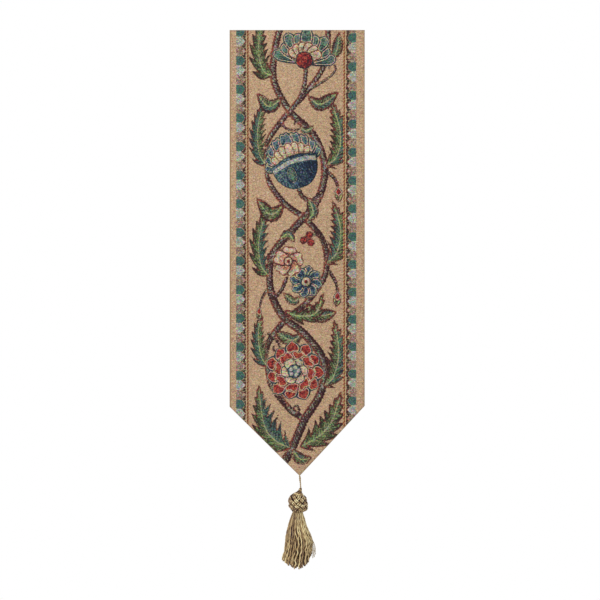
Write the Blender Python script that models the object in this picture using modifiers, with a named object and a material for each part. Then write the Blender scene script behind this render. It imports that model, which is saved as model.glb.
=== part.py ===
import math
from collections import namedtuple
from random import Random

import bmesh
import bpy
import numpy as np
from mathutils import Matrix, Vector

MM = 0.001

# The cloth strip, seen from the front with X to the right and its top edge at Z = 0
STRIP_WIDTH = 152.4 * MM
LEFT_SIDE = 425.0 * MM
RIGHT_SIDE = 424.1 * MM
POINT_X = 2.8 * MM
POINT_DROP = 503.1 * MM
CLOTH = 1.3 * MM
FOLD_GAP = 0.4 * MM
HEM = 12.0 * MM
FOLD_STEPS = 4
GRID_COLUMNS = 10
GRID_ROWS = 36

# Soft ridges (towards the front) and troughs of the hanging cloth
Swell = namedtuple("Swell", "x z reach_x reach_z forward")
SWELLS = (
    Swell(-40 * MM, -70 * MM, 55 * MM, 120 * MM, -0.6 * MM),
    Swell(35 * MM, -170 * MM, 60 * MM, 130 * MM, 0.9 * MM),
    Swell(-30 * MM, -300 * MM, 60 * MM, 110 * MM, 0.8 * MM),
    Swell(50 * MM, -370 * MM, 50 * MM, 90 * MM, -0.7 * MM),
    Swell(0 * MM, -480 * MM, 60 * MM, 55 * MM, 0.5 * MM),
)

# The cord that is caught in the point's mitre, its centre line from its top end to the knot
CORD_RADIUS = 0.75 * MM
CORD_WAIST = 0.72
CORD_TURN = 5.0 * MM
CORD_SIDES = 10
CORD_STEPS_A_TURN = 10
CORD_DEPTH = (CLOTH + FOLD_GAP) / 2
CORD_PLAY = 0.3 * MM
CordPoint = namedtuple("CordPoint", "z x")
CORD_ROUTE = (
    CordPoint(-493.0 * MM, 2.8 * MM),
    CordPoint(-503.0 * MM, 2.8 * MM),
    CordPoint(-507.0 * MM, 2.7 * MM),
    CordPoint(-512.0 * MM, 3.4 * MM),
    CordPoint(-517.0 * MM, 3.8 * MM),
    CordPoint(-520.5 * MM, 3.8 * MM),
)

# The knotted ball: half width and middle of its outline at each height
Level = namedtuple("Level", "z half_width middle")
KNOT_LEVELS = (
    Level(-517.0 * MM, 1.8 * MM, 3.8 * MM),
    Level(-519.5 * MM, 2.3 * MM, 3.3 * MM),
    Level(-521.8 * MM, 3.7 * MM, 2.0 * MM),
    Level(-523.0 * MM, 5.4 * MM, 0.9 * MM),
    Level(-525.2 * MM, 7.6 * MM, 0.4 * MM),
    Level(-528.8 * MM, 9.8 * MM, 0.8 * MM),
    Level(-533.1 * MM, 10.4 * MM, 0.6 * MM),
    Level(-536.9 * MM, 10.6 * MM, 1.4 * MM),
    Level(-539.2 * MM, 9.8 * MM, 2.0 * MM),
    Level(-541.4 * MM, 8.4 * MM, 2.1 * MM),
    Level(-543.2 * MM, 6.9 * MM, 1.2 * MM),
    Level(-544.3 * MM, 5.9 * MM, 0.5 * MM),
)
KNOT_BORE_DEPTH = 4.2 * MM
KNOT_RINGS = 28
KNOT_SIDES = 64
PLAIT_BANDS = 8
PLAIT_RELIEF = 1.3 * MM
PLAIT_LEVEL = 0.8
PLAIT_GROOVE = 0.3
PLAIT_UNDER = 0.35
PLAIT_TURN = 22.0 * MM
PLAIT_START = -522.5 * MM
PLAIT_FADE = 2.0 * MM

# The skirt: outline as for the knot, then the hem line that the yarn ends follow
SKIRT_TOP = -544.6 * MM
HEAD_HEIGHT = 2.2 * MM
SKIRT_LEVELS = (
    Level(-544.6 * MM, 5.9 * MM, 0.6 * MM),
    Level(-551.0 * MM, 8.2 * MM, 0.6 * MM),
    Level(-557.0 * MM, 10.0 * MM, 0.5 * MM),
    Level(-564.0 * MM, 12.2 * MM, 0.9 * MM),
    Level(-571.0 * MM, 14.2 * MM, 1.5 * MM),
    Level(-579.0 * MM, 15.2 * MM, 1.8 * MM),
    Level(-586.0 * MM, 15.5 * MM, 1.5 * MM),
    Level(-593.0 * MM, 16.0 * MM, 0.6 * MM),
    Level(-609.0 * MM, 16.2 * MM, 0.3 * MM),
)
LowerEnd = namedtuple("LowerEnd", "share z")
SKIRT_HEM = (
    LowerEnd(0.0, -608.5 * MM),
    LowerEnd(0.5, -608.0 * MM),
    LowerEnd(0.8, -604.0 * MM),
    LowerEnd(1.0, -598.5 * MM),
)
LockRing = namedtuple("LockRing", "inner outer count")
LOCK_RINGS = (
    LockRing(0.14, 0.34, 10),
    LockRing(0.40, 0.58, 18),
    LockRing(0.64, 0.80, 26),
    LockRing(0.86, 1.00, 34),
)
LOCK_FILL = 0.74
LOCK_STATIONS = (0.11, 0.26, 0.41, 0.56, 0.71, 0.86)
LOCK_UNEVEN = 5.0 * MM
WAVE_LENGTH = 17.0 * MM
WAVE_REACH = 0.9 * MM


def clear_scene():
    for old in list(bpy.data.objects):
        bpy.data.objects.remove(old, do_unlink=True)


def new_collection(name):
    collection = bpy.data.collections.new(name)
    bpy.context.scene.collection.children.link(collection)
    return collection


def new_material(name, colour, roughness, metallic=0.0):
    material = bpy.data.materials.new(name)
    material.use_nodes = True
    shader = material.node_tree.nodes["Principled BSDF"]
    shader.inputs["Base Color"].default_value = (*colour, 1.0)
    shader.inputs["Roughness"].default_value = roughness
    shader.inputs["Metallic"].default_value = metallic
    return material


def new_object(name, bm, collection, material=None):
    bmesh.ops.recalc_face_normals(bm, faces=bm.faces[:])
    mesh = bpy.data.meshes.new(name)
    bm.to_mesh(mesh)
    bm.free()
    obj = bpy.data.objects.new(name, mesh)
    collection.objects.link(obj)
    if material:
        mesh.materials.append(material)
    return obj


# Value at a height, read smoothly from a table that runs downwards
def at_level(levels, z, column):
    heights = [-level.z for level in levels]
    values = [getattr(level, column) for level in levels]
    return float(np.interp(-z, heights, values))


def strip_corners():
    half = STRIP_WIDTH / 2
    return (
        Vector((-half, 0, 0)),
        Vector((half, 0, 0)),
        Vector((half, 0, -RIGHT_SIDE)),
        Vector((POINT_X, 0, -POINT_DROP)),
        Vector((-half, 0, -LEFT_SIDE)),
    )


CORNERS = strip_corners()


def inward(side):
    along = (CORNERS[(side + 1) % len(CORNERS)] - CORNERS[side]).normalized()
    return Vector((along.z, 0, -along.x))


# Corner of the strip's outline after all sides have moved inwards
def inset_corner(corner, inset):
    before = inward(corner - 1)
    after = inward(corner)
    return CORNERS[corner] + (before + after) * (inset / (1 + before.dot(after)))


# Point at a share of the way along one side of the inset outline
def inset_point(side, share, inset):
    start = inset_corner(side, inset)
    end = inset_corner((side + 1) % len(CORNERS), inset)
    return start.lerp(end, share)


def swell_at(x, z):
    forward = 0.0
    for swell in SWELLS:
        reach = ((x - swell.x) / swell.reach_x) ** 2 + ((z - swell.z) / swell.reach_z) ** 2
        forward += swell.forward * math.exp(-reach)
    return -forward


# The middle surface of the front layer inside the hem, as a grid cut along the point's sides
def front_grid():
    bm = bmesh.new()
    bmesh.ops.create_grid(bm, x_segments=GRID_COLUMNS, y_segments=GRID_ROWS, size=0.5)
    width = STRIP_WIDTH - 2 * HEM
    lowest = inset_corner(3, HEM).z
    for vert in bm.verts:
        down = 0.5 - vert.co.y
        vert.co = (vert.co.x * width, 0, -HEM + down * (lowest + HEM))
    for side in (2, 3):
        bmesh.ops.bisect_plane(
            bm,
            geom=bm.verts[:] + bm.edges[:] + bm.faces[:],
            dist=0.01 * MM,
            plane_co=inset_corner(side, HEM),
            plane_no=-inward(side),
            clear_outer=True,
        )
    return bm


# Tells each rim vertex which side of the outline it lies on, and how far along
def mark_rim(bm, side_layer, share_layer):
    for edge in bm.edges:
        if not edge.is_boundary:
            continue
        for vert in edge.verts:
            nearest = None
            for side in range(len(CORNERS)):
                start = inset_corner(side, HEM)
                along = inset_corner((side + 1) % len(CORNERS), HEM) - start
                share = min(max((vert.co - start).dot(along) / along.length_squared, 0), 1)
                miss = (start + along * share - vert.co).length
                if nearest is None or miss < nearest[0]:
                    nearest = (miss, side, share)
            vert[side_layer] = nearest[1]
            vert[share_layer] = nearest[2]


# The hem goes round a half circle at the edge and comes back behind the front layer
def hem_section():
    radius = (CLOTH + FOLD_GAP) / 2
    centre = CLOTH / 2 + radius
    section = []
    for step in range(FOLD_STEPS + 1):
        angle = math.pi * (step / FOLD_STEPS - 0.5)
        section.append((centre - radius * math.cos(angle), radius * (1 + math.sin(angle))))
    section.append((HEM, 2 * radius))
    return section


def make_panel(parts, cutters):
    bm = front_grid()
    side_layer = bm.verts.layers.int.new("side")
    share_layer = bm.verts.layers.float.new("share")
    mark_rim(bm, side_layer, share_layer)
    rim = [edge for edge in bm.edges if edge.is_boundary]
    for inset, depth in hem_section():
        grown = bmesh.ops.extrude_edge_only(bm, edges=rim)["geom"]
        for item in grown:
            if isinstance(item, bmesh.types.BMVert):
                place = inset_point(item[side_layer], item[share_layer], inset)
                item.co = (place.x, depth, place.z)
        rim = [item for item in grown if isinstance(item, bmesh.types.BMEdge)]
    for vert in bm.verts:
        vert.co.y += swell_at(vert.co.x, vert.co.z)
    cloth = new_material("tapestry", (0.45, 0.31, 0.19), 0.9)
    panel = new_object("tapestry_panel", bm, parts, cloth)
    solidify = panel.modifiers.new("cloth", "SOLIDIFY")
    solidify.thickness = CLOTH
    solidify.offset = 0.0
    solidify.use_even_offset = True
    solidify.use_quality_normals = True

    # The way for the cord's end, between the layers at the point
    end = CORD_ROUTE[0]
    top = end.z + 2 * CORD_PLAY
    bottom = -POINT_DROP - 3 * CORD_RADIUS
    bm = bmesh.new()
    bmesh.ops.create_cone(
        bm,
        cap_ends=True,
        segments=16,
        radius1=CORD_RADIUS + CORD_PLAY,
        radius2=CORD_RADIUS + CORD_PLAY,
        depth=top - bottom,
        matrix=Matrix.Translation((end.x, cord_depth(), (top + bottom) / 2)),
    )
    cutter = new_object("cord_way", bm, cutters)
    cutter.hide_render = True
    cutter.display_type = "WIRE"
    cut = panel.modifiers.new("cord way", "BOOLEAN")
    cut.object = cutter
    cut.operation = "DIFFERENCE"
    return panel


def cord_depth():
    return CORD_DEPTH + swell_at(POINT_X, -POINT_DROP)


def cord_middle(z):
    heights = [-point.z for point in CORD_ROUTE]
    return float(np.interp(-z, heights, [point.x for point in CORD_ROUTE]))


# Two plies laid round each other: a waisted section that turns as it goes down
def make_cord(parts):
    bm = bmesh.new()
    bmesh.ops.create_circle(bm, segments=CORD_SIDES, radius=CORD_RADIUS)
    for vert in bm.verts:
        vert.co.y *= CORD_WAIST
    top = CORD_ROUTE[0].z
    length = top - CORD_ROUTE[-1].z
    turns = length / CORD_TURN
    steps = round(turns * CORD_STEPS_A_TURN)
    bmesh.ops.translate(bm, verts=bm.verts[:], vec=(0, 0, top))
    first = bm.edges[:]
    bmesh.ops.spin(
        bm,
        geom=first,
        cent=(0, 0, 0),
        axis=(0, 0, 1),
        angle=turns * math.tau,
        dvec=(0, 0, -length / steps),
        steps=steps,
    )
    bmesh.ops.holes_fill(bm, edges=[edge for edge in bm.edges if edge.is_boundary])
    for vert in bm.verts:
        vert.co.x += cord_middle(vert.co.z)
        vert.co.y += cord_depth()
    gold = new_material("gold_cord", (0.42, 0.32, 0.17), 0.55)
    cord = new_object("tassel_cord", bm, parts, gold)
    cord.data.shade_smooth()
    return cord


# Rounded height across one band, which dips where it passes under another
def band_height(across, over):
    inside = max(abs(across) - PLAIT_GROOVE, 0) / (1 - PLAIT_GROOVE)
    return math.sqrt(inside) * (PLAIT_UNDER + (1 - PLAIT_UNDER) * over)


# How far a plait of two crossing sets of bands stands out at an angle and a height
def plait_at(angle, z):
    around = PLAIT_BANDS * angle / math.tau
    along = PLAIT_BANDS * z / PLAIT_TURN / 2
    rising = math.sin(math.pi * (around + along))
    falling = math.sin(math.pi * (around - along))
    over = 0.5 + 0.5 * rising * falling
    high = max(band_height(rising, over), band_height(falling, 1 - over))
    fade = min(max((PLAIT_START - z) / PLAIT_FADE, 0), 1)
    fade *= min(max((z - KNOT_LEVELS[-1].z) / PLAIT_FADE, 0), 1)
    return PLAIT_RELIEF * fade * (high - PLAIT_LEVEL)


# Turned profile from the bore's floor up its wall, over the rim and down the outside
def make_knot(parts):
    bore = CORD_RADIUS + CORD_PLAY
    top = KNOT_LEVELS[0]
    bottom = KNOT_LEVELS[-1]
    profile = [
        Vector((0, 0, top.z - KNOT_BORE_DEPTH)),
        Vector((bore, 0, top.z - KNOT_BORE_DEPTH)),
        Vector((bore, 0, top.z)),
    ]
    for ring in range(KNOT_RINGS + 1):
        sweep = 0.5 - 0.5 * math.cos(math.pi * ring / KNOT_RINGS)
        share = 0.5 * sweep + 0.5 * ring / KNOT_RINGS
        z = top.z + share * (bottom.z - top.z)
        profile.append(Vector((at_level(KNOT_LEVELS, z, "half_width"), 0, z)))
    profile.append(Vector((0, 0, bottom.z)))
    bm = bmesh.new()
    verts = [bm.verts.new(point) for point in profile]
    edges = [bm.edges.new(pair) for pair in zip(verts, verts[1:])]
    bmesh.ops.spin(
        bm,
        geom=verts + edges,
        cent=(0, 0, 0),
        axis=(0, 0, 1),
        angle=math.tau,
        steps=KNOT_SIDES,
        use_merge=True,
    )
    bmesh.ops.remove_doubles(bm, verts=bm.verts[:], dist=0.01 * MM)
    for vert in bm.verts:
        radius = vert.co.xy.length
        if radius > bore + 0.1 * MM:
            angle = math.atan2(vert.co.y, vert.co.x)
            vert.co.xy *= 1 + plait_at(angle, vert.co.z) / radius
            vert.co.x += at_level(KNOT_LEVELS, vert.co.z, "middle")
        else:
            vert.co.x += top.middle if vert.co.z > bottom.z + MM else bottom.middle
        vert.co.y += cord_depth()
    gold = new_material("gold_plait", (0.36, 0.28, 0.14), 0.45)
    knot = new_object("tassel_knot", bm, parts, gold)
    knot.data.shade_smooth()
    return knot


def hem_at(share):
    return float(np.interp(share, [end.share for end in SKIRT_HEM], [end.z for end in SKIRT_HEM]))


# Straight locks first, in a block of angle, share of the radius and height, then wrapped round
def make_skirt(parts, cutters):
    uneven = Random(11)
    root = SKIRT_TOP - HEAD_HEIGHT / 2
    bm = bmesh.new()
    for row, ring in enumerate(LOCK_RINGS):
        for lock in range(ring.count):
            angle = math.tau * (lock + 0.5 * row) / ring.count
            share = (ring.inner + ring.outer) / 2
            end = hem_at(share) + uneven.uniform(0, LOCK_UNEVEN)
            size = (LOCK_FILL * math.tau / ring.count, ring.outer - ring.inner, root - end)
            place = Matrix.Translation((angle, share, (root + end) / 2)) @ Matrix.Diagonal((*size, 1))
            bmesh.ops.create_cube(bm, size=1, matrix=place)
    deepest = min(vert.co.z for vert in bm.verts)
    for station in LOCK_STATIONS:
        bmesh.ops.bisect_plane(
            bm,
            geom=bm.verts[:] + bm.edges[:] + bm.faces[:],
            plane_co=(0, 0, root + station * (deepest - root)),
            plane_no=(0, 0, 1),
        )
    for vert in bm.verts:
        angle, share, z = vert.co
        width = at_level(SKIRT_LEVELS, z, "half_width")
        below = (SKIRT_TOP - z) / (SKIRT_TOP - deepest)
        sway = WAVE_REACH * below * math.sin(math.tau * z / WAVE_LENGTH + 3 * angle)
        angle += sway / (width * max(share, 0.4))
        vert.co = (
            at_level(SKIRT_LEVELS, z, "middle") + width * share * math.cos(angle),
            cord_depth() + width * share * math.sin(angle),
            z,
        )
    gold = new_material("gold_yarn", (0.38, 0.29, 0.15), 0.6)
    skirt = new_object("tassel_skirt", bm, parts, gold)

    # The head that the roots are fused into
    bm = bmesh.new()
    head = SKIRT_LEVELS[0]
    bmesh.ops.create_cone(
        bm,
        cap_ends=True,
        segments=40,
        radius1=head.half_width + 0.5 * MM,
        radius2=head.half_width,
        depth=HEAD_HEIGHT,
        matrix=Matrix.Translation((head.middle, cord_depth(), SKIRT_TOP - HEAD_HEIGHT / 2)),
    )
    backing = new_object("skirt_head", bm, cutters)
    backing.hide_render = True
    backing.display_type = "WIRE"
    join = skirt.modifiers.new("head", "BOOLEAN")
    join.object = backing
    join.operation = "UNION"
    return skirt


def build():
    clear_scene()
    parts = new_collection("tapestry bell pull")
    cutters = new_collection("cutters")
    make_panel(parts, cutters)
    make_cord(parts)
    make_knot(parts)
    make_skirt(parts, cutters)


build()
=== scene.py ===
# A tapestry bell pull with its tassel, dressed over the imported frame. Everything is modelled in
# millimetres and brought to metres when its mesh is stored.
import math
import random

import bmesh
import bpy
import numpy as np
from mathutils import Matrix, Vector


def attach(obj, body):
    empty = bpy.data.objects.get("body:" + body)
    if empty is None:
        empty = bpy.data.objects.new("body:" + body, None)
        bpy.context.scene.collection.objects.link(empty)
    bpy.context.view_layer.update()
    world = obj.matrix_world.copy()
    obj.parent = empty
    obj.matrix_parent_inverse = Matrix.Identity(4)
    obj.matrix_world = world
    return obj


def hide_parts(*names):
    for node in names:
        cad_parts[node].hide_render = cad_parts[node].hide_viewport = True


mm = 0.001
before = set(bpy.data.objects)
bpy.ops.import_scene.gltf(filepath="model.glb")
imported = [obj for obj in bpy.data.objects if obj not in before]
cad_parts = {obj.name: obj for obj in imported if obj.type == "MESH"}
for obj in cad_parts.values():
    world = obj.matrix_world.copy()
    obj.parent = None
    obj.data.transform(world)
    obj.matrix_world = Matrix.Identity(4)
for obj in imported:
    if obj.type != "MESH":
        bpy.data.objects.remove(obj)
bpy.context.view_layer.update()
print("frame loaded:", ", ".join(sorted(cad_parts)))


# sRGB colour as it is read off a screen, to the linear numbers that a node wants
def tint(red, green, blue):
    linear = [((c / 255 + 0.055) / 1.055) ** 2.4 if c > 10 else c / 3295 for c in (red, green, blue)]
    return (*linear, 1.0)


# studio: a long lens straight on, a white surround and three soft lamps
studio = {
    "lens": 160,
    "sensor": 36,
    "clipEnd": 30,
    "frameWidth": 676.8,
    "aim": (3.2, 0, -304.6),
    # the surround as it lights the object, and as the camera sees it
    "surround": (0.62, 1.0),
    "lamps": [
        # name, place, aim, size, watts
        ("keyLamp", (-960, -1080, 480), (-70, 0, -310), 600, 12.7),
        ("fillLamp", (1300, -1500, -100), (0, 0, -300), 1100, 2),
        ("backLamp", (600, 1700, 500), (0, 0, -300), 900, 12),
    ],
    "floorDrop": -950,
    "floorSize": 2600,
    "floorColour": (0.82, 0.81, 0.79, 1),
    "floorRoughness": 0.8,
}


def placeInScene(name, data, place, target):
    item = bpy.data.objects.new(name, data)
    bpy.context.scene.collection.objects.link(item)
    item.location = Vector(place) * mm
    item.rotation_euler = (Vector(target) - Vector(place)).to_track_quat("-Z", "Y").to_euler()
    return item


def setCamera():
    scene = bpy.context.scene
    distance = studio["frameWidth"] * studio["lens"] / studio["sensor"]
    lens = bpy.data.cameras.new("camera")
    lens.lens = studio["lens"]
    lens.sensor_width = studio["sensor"]
    lens.clip_end = studio["clipEnd"]
    aim = Vector(studio["aim"])
    scene.camera = placeInScene("camera", lens, aim - Vector((0, distance, 0)), aim)
    scene.view_settings.view_transform = "Standard"
    print("camera at", round(distance), "mm")


def setLamps():
    for name, place, target, size, watts in studio["lamps"]:
        light = bpy.data.lights.new(name, "AREA")
        light.size = size * mm
        light.energy = watts
        placeInScene(name, light, place, target)


def setSurround():
    world = bpy.data.worlds.new("white surround")
    world.use_nodes = True
    bpy.context.scene.world = world
    back = world.node_tree.nodes["Background"]
    back.inputs["Color"].default_value = (1, 1, 1, 1)
    seen = world.node_tree.nodes.new("ShaderNodeLightPath").outputs["Is Camera Ray"]
    feed(back.inputs["Strength"], remap(seen, *studio["surround"]))


def setFloor():
    bm = bmesh.new()
    bmesh.ops.create_grid(bm, x_segments=1, y_segments=1, size=studio["floorSize"] / 2)
    bmesh.ops.translate(bm, verts=bm.verts[:], vec=(0, 0, studio["floorDrop"]))
    floor = keepMesh("floor", bm, smooth=False)
    paint = plainMaterial("pale floor", studio["floorColour"], studio["floorRoughness"])
    floor.data.materials.append(paint)


# stores a bmesh that was modelled in millimetres as an object at the origin
def keepMesh(name, bm, smooth=True):
    bmesh.ops.scale(bm, verts=bm.verts[:], vec=(mm, mm, mm))
    mesh = bpy.data.meshes.new(name)
    bm.to_mesh(mesh)
    bm.free()
    if smooth:
        mesh.shade_smooth()
    piece = bpy.data.objects.new(name, mesh)
    bpy.context.scene.collection.objects.link(piece)
    return piece


# extrudes a rim of edges once, lets settle move each new point, and gives the new rim
def growRim(bm, rim, settle):
    grown = bmesh.ops.extrude_edge_only(bm, edges=rim)["geom"]
    for item in grown:
        if isinstance(item, bmesh.types.BMVert):
            settle(item)
    return [item for item in grown if isinstance(item, bmesh.types.BMEdge)]


def dropLayer(layers, name):
    layers.remove(layers[name])


def dress(piece, node):
    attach(piece, "root")
    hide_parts(node)


# small helpers for node trees; a socket knows the tree that it belongs to
def newMaterial(name):
    material = bpy.data.materials.new(name)
    material.use_nodes = True
    return material, material.node_tree, material.node_tree.nodes["Principled BSDF"]


def plainMaterial(name, colour, roughness):
    material, _, shader = newMaterial(name)
    feedAll(shader, {"Base Color": colour, "Roughness": roughness})
    return material


def isSocket(value):
    return isinstance(value, bpy.types.NodeSocket)


# feeds a socket with another socket's output, or with a plain value
def feed(socket, value):
    if isSocket(value):
        socket.id_data.links.new(value, socket)
    else:
        socket.default_value = value


def feedAll(node, values):
    for name, value in values.items():
        feed(node.inputs[name], value)


# a new node beside the sockets among its values, which feed its first inputs
def nodeFor(kind, values):
    tree = next(value for value in values if isSocket(value)).id_data
    node = tree.nodes.new("ShaderNode" + kind)
    for socket, value in zip(node.inputs, values):
        feed(socket, value)
    return node


def calc(how, *values):
    node = nodeFor("Math", values)
    node.operation = how
    return node.outputs[0]


def add(first, *others):
    for other in others:
        first = calc("ADD", first, other)
    return first


def minus(value, taken):
    return calc("SUBTRACT", value, taken)


def times(first, *others):
    for other in others:
        first = calc("MULTIPLY", first, other)
    return first


# one where the value is over or under the limit, else nothing
def isOver(value, limit):
    return calc("GREATER_THAN", value, limit)


def isUnder(value, limit):
    return calc("LESS_THAN", value, limit)


def remap(value, low, high, start=0.0, end=1.0):
    return nodeFor("MapRange", (value, start, end, low, high)).outputs["Result"]


def blendColour(share, under, over, how="MIX"):
    tree = next(value for value in (share, under, over) if isSocket(value)).id_data
    node = tree.nodes.new("ShaderNodeMix")
    node.data_type = "RGBA"
    node.blend_type = how
    feedAll(node, {"Factor": share, "A": under, "B": over})
    return node.outputs["Result"]


def darken(colour, factor):
    return blendColour(1.0, colour, factor, how="MULTIPLY")


def joinAxes(x, y, z=0.0):
    return nodeFor("CombineXYZ", (x, y, z)).outputs[0]


def readAttribute(tree, name):
    node = tree.nodes.new("ShaderNodeAttribute")
    node.attribute_name = name
    return nodeFor("SeparateXYZ", [node.outputs["Vector"]]).outputs


def noiseAt(vector, detail):
    node = nodeFor("TexNoise", [vector])
    feedAll(node, {"Scale": 1.0, "Detail": detail})
    return node.outputs["Fac"]


# colours by level: blended into each other, or stepped from one strand to the next
def shades(level, colours, stepped=False, places=None):
    node = nodeFor("ValToRGB", [level])
    ramp = node.color_ramp
    ramp.interpolation = "CONSTANT" if stepped else "LINEAR"
    count = len(colours)
    if places is None:
        places = [n / count if stepped else n / (count - 1) for n in range(count)]
    while len(ramp.elements) < count:
        ramp.elements.new(0.5)
    for element, place, colour in zip(ramp.elements, places, colours):
        element.position = place
        element.color = tint(*colour)
    return node.outputs["Color"]


def addBump(shader, height, strength, depth):
    bump = shader.id_data.nodes.new("ShaderNodeBump")
    feedAll(bump, {"Strength": strength, "Distance": depth * mm, "Height": height})
    feed(shader.inputs["Normal"], bump.outputs["Normal"])


# a group whose inputs are numbers, given with their usual values
def newGroup(name, inputs, outputs, colours=()):
    group = bpy.data.node_groups.new(name, "ShaderNodeTree")
    for label, value in inputs.items():
        socket = group.interface.new_socket(label, in_out="INPUT", socket_type="NodeSocketFloat")
        socket.default_value = value
    for label in (*outputs, *colours):
        kind = "NodeSocketColor" if label in colours else "NodeSocketFloat"
        group.interface.new_socket(label, in_out="OUTPUT", socket_type=kind)
    return group, group.nodes.new("NodeGroupInput").outputs, group.nodes.new("NodeGroupOutput").inputs


def useGroup(tree, group, **values):
    node = tree.nodes.new("ShaderNodeGroup")
    node.node_tree = group
    feedAll(node, values)
    return node.outputs


# hanging: the cloth, cut to a strip with a point and hemmed all round; x to the right, h down
# from the top edge, both in millimetres. It repeats the part's own outline and soft swells.
hanging = {
    "width": 152.4,
    "leftSide": 425.0,
    "rightSide": 424.1,
    "pointX": 2.8,
    "pointDrop": 503.1,
    "thick": 1.3,
    "foldGap": 0.4,
    "hem": 12.0,
    "pitch": 1.35,
    "hemRings": 8,
    "foldRings": 6,
    "backRings": 4,
    "swells": [
        # x, z, reach across, reach down, how far forward
        (-40, -70, 55, 120, -0.6),
        (35, -170, 60, 130, 0.9),
        (-30, -300, 60, 110, 0.8),
        (50, -370, 50, 90, -0.7),
        (0, -480, 60, 55, 0.5),
    ],
    # the waves that a hemmed edge keeps: how far they stand out, where they fade, how fast they
    # grow from the top edge
    "ripple": 0.35,
    "rippleReach": 16.0,
    "rippleGrow": 30.0,
    # a wave's length down the edge and its shift on the right, then a second one's strength and its
    # lengths down and across
    "firstWave": (13.0, 2.0),
    "secondWave": (0.6, 29.0, 17.0),
    # a place well inside the front, to tell which way the cloth faces
    "frontSpot": (0, 0, -200),
}

halfWidth = hanging["width"] / 2
outline = [
    # x and h of each corner, clockwise from the upper left
    (-halfWidth, 0),
    (halfWidth, 0),
    (halfWidth, hanging["rightSide"]),
    (hanging["pointX"], hanging["pointDrop"]),
    (-halfWidth, hanging["leftSide"]),
]
corners = [Vector((x, 0, -h)) for x, h in outline]


def sideDirection(side):
    return (corners[(side + 1) % 5] - corners[side % 5]).normalized()


def inwardOf(side):
    along = sideDirection(side)
    return Vector((along.z, 0, -along.x))


# a corner of the outline after all its sides have moved inwards
def insetCorner(corner, inset):
    before = inwardOf(corner - 1)
    after = inwardOf(corner)
    return corners[corner % 5] + (before + after) * (inset / (1 + before.dot(after)))


def insetSides(inset):
    return [(insetCorner(side, inset), insetCorner(side + 1, inset)) for side in range(5)]


def fromEdge(place):
    return min((place - corners[side]).dot(inwardOf(side)) for side in range(5))


def swellAt(x, z):
    forward = 0.0
    for middleX, middleZ, reachX, reachZ, height in hanging["swells"]:
        forward += height * math.exp(-(((x - middleX) / reachX) ** 2 + ((z - middleZ) / reachZ) ** 2))
    return -forward


# how far back the cloth lies at a place, from its swells and its edge's slight waves
def backOf(place):
    x, z = place.x, place.z
    length, shift = hanging["firstWave"]
    strength, down, across = hanging["secondWave"]
    wave = math.sin(z / length + (shift if x > 0 else 0.0)) + strength * math.sin(z / down + x / across)
    fade = math.exp(-max(fromEdge(place), 0) / hanging["rippleReach"])
    return swellAt(x, z) + hanging["ripple"] * wave * fade * min(1.0, -z / hanging["rippleGrow"])


# the hem's run: place across the cloth, depth, and the same place on the cloth before it was folded
def hemRun():
    radius = (hanging["thick"] + hanging["foldGap"]) / 2
    centre = hanging["thick"] / 2 + radius
    hem = hanging["hem"]
    run = []
    for ring in range(1, hanging["hemRings"]):
        inset = hem + (centre - hem) * ring / hanging["hemRings"]
        run.append((inset, 0.0, inset))
    for ring in range(hanging["foldRings"] + 1):
        angle = math.pi * ring / hanging["foldRings"]
        inset = centre - radius * math.sin(angle)
        run.append((inset, radius * (1 - math.cos(angle)), centre - radius * angle))
    turned = centre - radius * math.pi
    for ring in range(1, hanging["backRings"] + 1):
        inset = centre + (hem - centre) * ring / hanging["backRings"]
        run.append((inset, 2 * radius, turned - (inset - centre)))
    return run


# a grid inside the hem, cut to the point
def cutStrip():
    hem = hanging["hem"]
    width = hanging["width"] - 2 * hem
    height = -insetCorner(3, hem).z - hem
    bm = bmesh.new()
    columns = round(width / hanging["pitch"])
    rows = round(height / hanging["pitch"])
    bmesh.ops.create_grid(bm, x_segments=columns, y_segments=rows, size=0.5)
    for vert in bm.verts:
        vert.co = (vert.co.x * width, 0, -hem - (0.5 - vert.co.y) * height)
    for side in (2, 3):
        bmesh.ops.bisect_plane(
            bm,
            geom=bm.verts[:] + bm.edges[:] + bm.faces[:],
            dist=0.05,
            plane_co=insetCorner(side, hem),
            plane_no=-inwardOf(side),
            clear_outer=True,
        )
    return bm


# grows the rim outwards, round the fold and back over the wrong side
def turnHem(bm, flat):
    hem = hanging["hem"]
    sideLayer = bm.verts.layers.int.new("side")
    shareLayer = bm.verts.layers.float.new("share")
    rim = [edge for edge in bm.edges if edge.is_boundary]
    for vert in {vert for edge in rim for vert in edge.verts}:
        choices = []
        for side, (start, end) in enumerate(insetSides(hem)):
            along = end - start
            share = min(max((vert.co - start).dot(along) / along.length_squared, 0), 1)
            choices.append(((start + along * share - vert.co).length, side, share))
        vert[sideLayer], vert[shareLayer] = min(choices)[1:]
    for inset, depth, flatInset in hemRun():
        sides = insetSides(inset)

        def settle(vert):
            start, end = sides[vert[sideLayer]]
            place = start.lerp(end, vert[shareLayer])
            laid = place + inwardOf(vert[sideLayer]) * (flatInset - inset)
            vert.co = (place.x, depth, place.z)
            vert[flat] = (laid.x, -laid.z, flatInset)

        rim = growRim(bm, rim, settle)
    dropLayer(bm.verts.layers.int, "side")
    dropLayer(bm.verts.layers.float, "share")


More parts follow.
